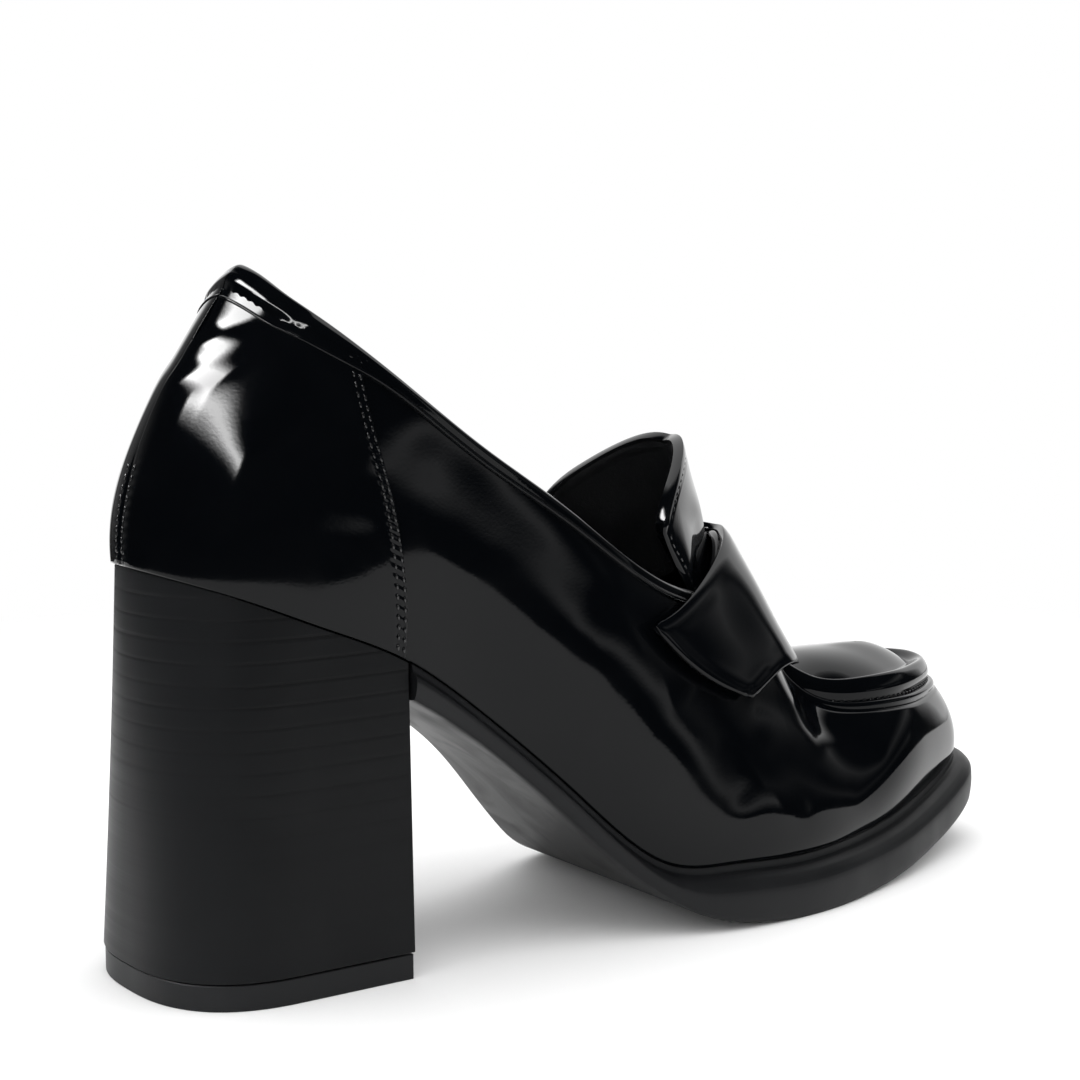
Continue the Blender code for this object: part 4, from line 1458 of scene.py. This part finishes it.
@dataclass
class Sole:
    """The rubber sole with its ledge, and the sock inside the shoe."""

    last: Last
    shelf: Shelf
    ledge: float = 0.0046
    ledge_drop: float = 0.0050
    bevel: float = 0.0006
    groove: float = 0.0021
    waist: float = 0.0012
    round: float = 0.0016
    heel_length: float = 0.0545
    rows: int = 46
    across: int = 14
    columns: int = 150

    def profile(self, side: Side, u: float) -> np.ndarray:
        """The edge of the sole at one station.

        Args:
            side: The side of the foot.
            u: The station.

        Returns:
            Its points from under the upper, over the ledge and round to the tread.
        """
        last = self.last
        foot = last.foot(side, u)
        out = np.array([1.0, 0, 0]) if u >= 1 else last.outward(side, u)
        knots = last.station_at(column("x", SOLE_EDGES))
        ledge = float(Rail(knots, column("ledge", SOLE_EDGES))(u))
        depth = float(Rail(knots, column("depth", SOLE_EDGES))(u)) * SIZES.sole_height
        reach = self.waist + (self.ledge - self.waist) * ledge
        drop = self.groove + (self.ledge_drop - self.groove) * ledge
        slope = drop - self.groove
        marks = np.array(
            [
                (-2.2 * SIZES.wall, SIZES.gap),
                (-0.2 * SIZES.wall, SIZES.gap),
                (0.0, SIZES.gap + 0.7 * self.groove),
                (0.22 * reach, self.groove),
                (0.62 * reach, self.groove + 0.25 * slope + 0.5 * self.bevel),
                (0.90 * reach, self.groove + 0.65 * slope + self.bevel),
                (reach, drop + self.bevel),
                (reach - 0.125 * self.round, depth - self.round),
                (reach - 0.5 * self.round, depth - 0.3 * self.round),
                (reach - 1.6 * self.round, depth),
            ]
        )
        way = way_along(marks)
        fine = np.interp(np.linspace(0, len(way) - 1, self.rows), np.arange(len(way)), way)
        soft = np.stack([self.eased(way, marks[:, k], fine) for k in range(2)], 1)
        points = foot + out * soft[:, :1]
        points[:, 2] = np.maximum(last.bed(points) - soft[:, 1], 0)
        return points

    @staticmethod
    def eased(way: np.ndarray, values: np.ndarray, fine: np.ndarray) -> np.ndarray:
        """Values between marks, halfway from straight lines to a cubic, so that corners stay tight."""
        return 0.5 * np.interp(fine, way, values) + 0.5 * Rail(way, values, False, False)(fine)

    def make(self) -> bpy.types.Object:
        """Builds the sole."""
        last = self.last
        start = last.station_at((self.heel_length + 3 * SIZES.gap) / SIZES.length)
        sections = []
        for u in np.linspace(start, 1, self.columns):
            near, far = (self.profile(side, u) for side in SIDES)
            share = np.linspace(0, 1, self.across + 2)[1:-1, None]
            under = near[-1] + (far[-1] - near[-1]) * share
            over = far[0] + (near[0] - far[0]) * share
            sections.append(np.concatenate([near, under, far[::-1], over, near[:1]]) + last.shift)
        mesh = bmesh.new()
        add_sheet(mesh, np.array(sections))
        merge(mesh)
        rim = [edge for edge in mesh.edges if edge.is_boundary]
        bmesh.ops.holes_fill(mesh, edges=rim, sides=0)
        bmesh.ops.recalc_face_normals(mesh, faces=mesh.faces)
        return finish_piece(mesh, "sole_unit", [self.shelf.rubber], ["outsole"], sharp=38)

    def make_sock(self) -> bpy.types.Object:
        """The sock on the inner sole, with its edge turned down."""
        last = self.last
        places = []
        share = np.linspace(0, 1, 27)
        for u in np.linspace(0, 1, 121):
            pair = []
            for side in SIDES:
                out = last.outward(side, u)
                if u in (0, 1):
                    out = out * np.array([1, 0, 1])
                pair.append(last.foot(side, u) - out * (SIZES.wall + 2 * SIZES.gap))
            line = pair[0] + (pair[1] - pair[0]) * share[:, None]
            line[:, 2] = last.bed(line) + SIZES.gap + 0.0030 - 0.0006 * (2 * share - 1) ** 8
            places.append(line + last.shift)
        mesh = bmesh.new()
        add_sheet(mesh, np.array(places))
        merge(mesh)
        made = finish_piece(mesh, "sock", [self.shelf.lining], ["insole"])
        thicken(made, 0.0020)
        return made


@dataclass
class Heel:
    """The stacked block and the top lift that it stands on."""

    last: Last
    shelf: Shelf
    length: float = 0.0545
    back: float = 0.0280
    squareness: float = 2.6
    proud: float = -0.0002
    flare: float = 0.0004
    lift: float = 0.0060
    count: int = 72
    levels: int = 24

    def outline(self, inset: float) -> tuple[np.ndarray, np.ndarray]:
        """Half of the heel's level outline.

        Args:
            inset: How far it lies inside the heel's foot.

        Returns:
            x and y from the middle of its back to the breast.
        """
        angle = np.linspace(0, math.pi / 2, 160)
        power = 2 / self.squareness
        half = float(self.last.half[Side.OUTER](self.last.breast)) + 0.0008 + self.flare - inset
        x = inset + (self.back - inset) * (1 - np.cos(angle) ** power)
        y = half * np.sin(angle) ** power
        straight = np.linspace(x[-1], self.length - inset, 60)[1:]
        return self.spaced(np.concatenate([x, straight]), np.concatenate([y, np.full(59, half)]))

    def spaced(self, x: np.ndarray, y: np.ndarray) -> tuple[np.ndarray, np.ndarray]:
        """Even steps along a half outline."""
        way = way_along(np.stack([x, y], 1))
        fine = np.linspace(0, way[-1], self.count)
        return np.interp(fine, way, x), np.interp(fine, way, y)

    def loop(self, near: np.ndarray, far: np.ndarray) -> np.ndarray:
        """A closed outline from its near and far half, across the breast."""
        share = np.linspace(0, 1, 18)[1:-1, None]
        breast = near[-1] + (far[-1] - near[-1]) * share
        return np.concatenate([near, breast, far[::-1]])

    def closed(
        self, levels: np.ndarray, name: str, material: bpy.types.Material, node: str
    ) -> bpy.types.Object:
        """Builds a block from its level outlines.

        Args:
            levels: The outlines, from the lowest up.
            name: The piece's name.
            material: Its material.
            node: The node that it stands for.

        Returns:
            The block.
        """
        mesh = bmesh.new()
        add_sheet(mesh, levels + self.last.shift)
        merge(mesh)
        rim = [edge for edge in mesh.edges if edge.is_boundary]
        bmesh.ops.holes_fill(mesh, edges=rim, sides=0)
        bmesh.ops.recalc_face_normals(mesh, faces=mesh.faces)
        made = finish_piece(mesh, name, [material], [node], sharp=40)
        soften(made, 0.00025, 2, 50)
        return made

    def make(self) -> list[bpy.types.Object]:
        """Builds the block and the lift.

        Returns:
            The two pieces.
        """
        last = self.last
        low_x, low_y = self.outline(0)
        u = np.linspace(0, last.station_at(self.length / SIZES.length), 160)
        low, high = {}, {}
        for side in SIDES:
            seat = last.foot(side, u) + last.outward(side, u) * self.proud
            seat[0, 1] = 0
            seat[:, 0] = np.minimum(seat[:, 0], self.length)
            seat[-1, 0] = self.length
            top_x, top_y = self.spaced(seat[:, 0], side * seat[:, 1])
            top_z = np.interp(top_x, seat[:, 0], seat[:, 2]) - SIZES.gap
            low[side] = np.stack([low_x, side * low_y, np.full(self.count, self.lift)], 1)
            high[side] = np.stack([top_x, side * top_y, top_z], 1)
        base = self.loop(low[Side.OUTER], low[Side.INNER])
        seat = self.loop(high[Side.OUTER], high[Side.INNER])
        share = np.linspace(0, 1, self.levels)[:, None, None]
        block = self.closed(base + (seat - base) * share, "heel_block", self.shelf.stack, "heel")
        x, y = self.outline(SIZES.lift_inset)
        flat = [np.stack([x, side * y, 0 * x], 1) for side in SIDES]
        foot = self.loop(*flat)
        heights = np.array([0, 0.0004, 0.0050, self.lift - SIZES.gap])
        levels = foot + heights[:, None, None] * np.array([0, 0, 1.0])
        lift = self.closed(levels, "heel_lift", self.shelf.rubber, "top_lift")
        return [block, lift]


# Studio


@dataclass(frozen=True)
class Panel:
    """A panel of light in the distance that the leather mirrors. Its angles are in degrees."""

    azimuth: float
    elevation: float
    half_width: float
    half_height: float
    edge: float
    strength: float
    spin: float = 0

    def axes(self) -> tuple[Vector, Vector, Vector]:
        """Its direction, and the directions along its width and its height."""
        a, e, s = (math.radians(angle) for angle in (self.azimuth, self.elevation, self.spin))
        ahead = Vector((math.cos(a) * math.cos(e), math.sin(a) * math.cos(e), math.sin(e)))
        right = ahead.cross(Vector((0, 0, 1))).normalized()
        up = right.cross(ahead)
        return ahead, math.cos(s) * right + math.sin(s) * up, math.cos(s) * up - math.sin(s) * right

    def light(self, tree: bpy.types.NodeTree, group: bpy.types.ShaderNodeTree) -> bpy.types.NodeSocket:
        """Adds its light to a world.

        Args:
            tree: The world's nodes.
            group: The soft panel.

        Returns:
            The socket with its brightness.
        """
        node = tree.nodes.new("ShaderNodeGroup")
        node.node_tree = group
        for key, axis in zip(("Forward", "Right", "Up"), self.axes()):
            node.inputs[key].default_value = axis
        spread = {"Half Width": self.half_width, "Half Height": self.half_height, "Edge": self.edge}
        for key, angle in spread.items():
            node.inputs[key].default_value = math.tan(math.radians(angle))
        return calc(tree, "MULTIPLY", node.outputs["Mask"], self.strength)


PANELS = [
    Panel(147, 43, 20, 8, 5, 41),
    Panel(194, 36, 36, 4.5, 4, 36, spin=11),
    Panel(-55, 1.5, 14, 3.5, 3, 0.9),
    Panel(-30, 6, 22, 5, 5, 0.16),
    Panel(-22, 18, 26, 9, 9, 0.4),
    Panel(46, 28, 42, 40, 13, 1.5),
    Panel(105, 8, 30, 24, 16, 0.2),
]


@dataclass
class Key:
    """The big soft light overhead, which the leather doesn't mirror."""

    size: float = 1.5
    height: float = 1.3
    radiance: float = 1.2

    def build(self) -> None:
        """Adds the light."""
        made = bpy.data.lights.new("key", "AREA")
        made.shape = "SQUARE"
        made.size = self.size
        made.energy = self.radiance * math.pi * self.size**2
        lamp = bpy.data.objects.new("key", made)
        bpy.context.collection.objects.link(lamp)
        lamp.location = (0, -0.1, self.height)
        lamp.visible_glossy = False


@dataclass
class Studio:
    """The floor, the lights, the backdrop and the camera."""

    last: Last
    floor_radius: float = 0.50
    fade: tuple[float, float] = (0.20, 0.46)
    room: float = 0.012
    surround: float = 1.3
    azimuth: float = -35.1
    elevation: float = 7.9
    roll: float = -0.2
    spot: tuple[float, float, float] = (-0.2183, -0.4652, 0.1674)
    focal: float = 2446
    frame: float = 1080

    def make_floor(self) -> None:
        """A round table top, pale and matte."""
        mesh = bmesh.new()
        bmesh.ops.create_circle(mesh, cap_ends=True, segments=128, radius=self.floor_radius)
        data = bpy.data.meshes.new("floor")
        mesh.to_mesh(data)
        mesh.free()
        paper = bpy.data.materials.new("paper")
        paper.use_nodes = True
        shader = paper.node_tree.nodes["Principled BSDF"]
        shader.inputs["Base Color"].default_value = (0.86, 0.86, 0.86, 1)
        shader.inputs["Roughness"].default_value = 0.9
        shader.inputs["Specular IOR Level"].default_value = 0.1
        self.fade_to_white(paper)
        data.materials.append(paper)
        floor = bpy.data.objects.new("floor", data)
        bpy.context.collection.objects.link(floor)

    def fade_to_white(self, paper: bpy.types.Material) -> None:
        """Lets the paper run out into the white backdrop, as the camera sees it."""
        tree = paper.node_tree
        nodes, links = tree.nodes, tree.links
        place = nodes.new("ShaderNodeTexCoord")
        length = nodes.new("ShaderNodeVectorMath")
        length.operation = "LENGTH"
        links.new(place.outputs["Object"], length.inputs[0])
        away = nodes.new("ShaderNodeMapRange")
        away.interpolation_type = "SMOOTHSTEP"
        away.inputs["From Min"].default_value, away.inputs["From Max"].default_value = self.fade
        links.new(length.outputs["Value"], away.inputs["Value"])
        ray = nodes.new("ShaderNodeLightPath")
        share = calc(tree, "MULTIPLY", away.outputs["Result"], ray.outputs["Is Camera Ray"])
        glow = nodes.new("ShaderNodeEmission")
        mix = nodes.new("ShaderNodeMixShader")
        links.new(share, mix.inputs["Fac"])
        links.new(nodes["Principled BSDF"].outputs["BSDF"], mix.inputs[1])
        links.new(glow.outputs["Emission"], mix.inputs[2])
        links.new(mix.outputs["Shader"], nodes["Material Output"].inputs["Surface"])

    def make_backdrop(self) -> None:
        """White behind the shoe, soft light all round, and for the leather a dark room with panels."""
        world = bpy.data.worlds.new("studio")
        bpy.context.scene.world = world
        world.use_nodes = True
        world.cycles.sampling_method = "NONE"
        tree = world.node_tree
        ray = tree.nodes.new("ShaderNodeLightPath")
        group = panel_group()
        glow = self.room
        for panel in PANELS:
            glow = calc(tree, "ADD", panel.light(tree, group), glow)
        for kind, value in (("Is Diffuse Ray", self.surround), ("Is Camera Ray", 1.0)):
            mix = tree.nodes.new("ShaderNodeMix")
            tree.links.new(ray.outputs[kind], mix.inputs["Factor"])
            tree.links.new(glow, mix.inputs["A"])
            mix.inputs["B"].default_value = value
            glow = mix.outputs["Result"]
        tree.links.new(glow, tree.nodes["Background"].inputs["Color"])

    def make_camera(self) -> None:
        """The photograph's camera."""
        data = bpy.data.cameras.new("camera")
        data.sensor_width = 36
        data.lens = data.sensor_width * self.focal / self.frame
        data.clip_start, data.clip_end = 0.01, 20
        camera = bpy.data.objects.new("camera", data)
        bpy.context.collection.objects.link(camera)
        a, e = math.radians(self.azimuth), math.radians(self.elevation)
        back = Vector((math.sin(a) * math.cos(e), -math.cos(a) * math.cos(e), math.sin(e)))
        camera.location = Vector(self.spot) + Vector(self.last.shift)
        camera.rotation_mode = "QUATERNION"
        turn = (-back).to_track_quat("-Z", "Y")
        camera.rotation_quaternion = turn @ Quaternion((0, 0, 1), math.radians(self.roll))
        bpy.context.scene.camera = camera

    def build(self) -> None:
        """Adds everything that isn't the shoe."""
        self.make_floor()
        self.make_backdrop()
        Key().build()
        self.make_camera()
        bpy.context.scene.view_settings.view_transform = "Standard"


def main() -> None:
    """Builds the dressed shoe around the frame."""
    logging.basicConfig(level=logging.INFO, format="%(message)s")
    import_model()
    low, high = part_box("top_lift")
    shift = np.array([low[0] - SIZES.lift_inset, (low[1] + high[1]) / 2, 0])
    last = Last(shift)
    leather = Leather(last)
    shelf = Shelf.stocked()
    upper = Upper(leather, shelf)
    upper.make_shell()
    upper.make_lining()
    upper.make_apron_stitches()
    BackPanel(leather, shelf).make()
    Collar(leather, shelf).make()
    Strap(leather, shelf).make()
    Tongue(leather, shelf).make()
    sole = Sole(last, shelf)
    sole.make()
    sole.make_sock()
    Heel(last, shelf).make()
    Studio(last).build()


if __name__ == "__main__":
    main()
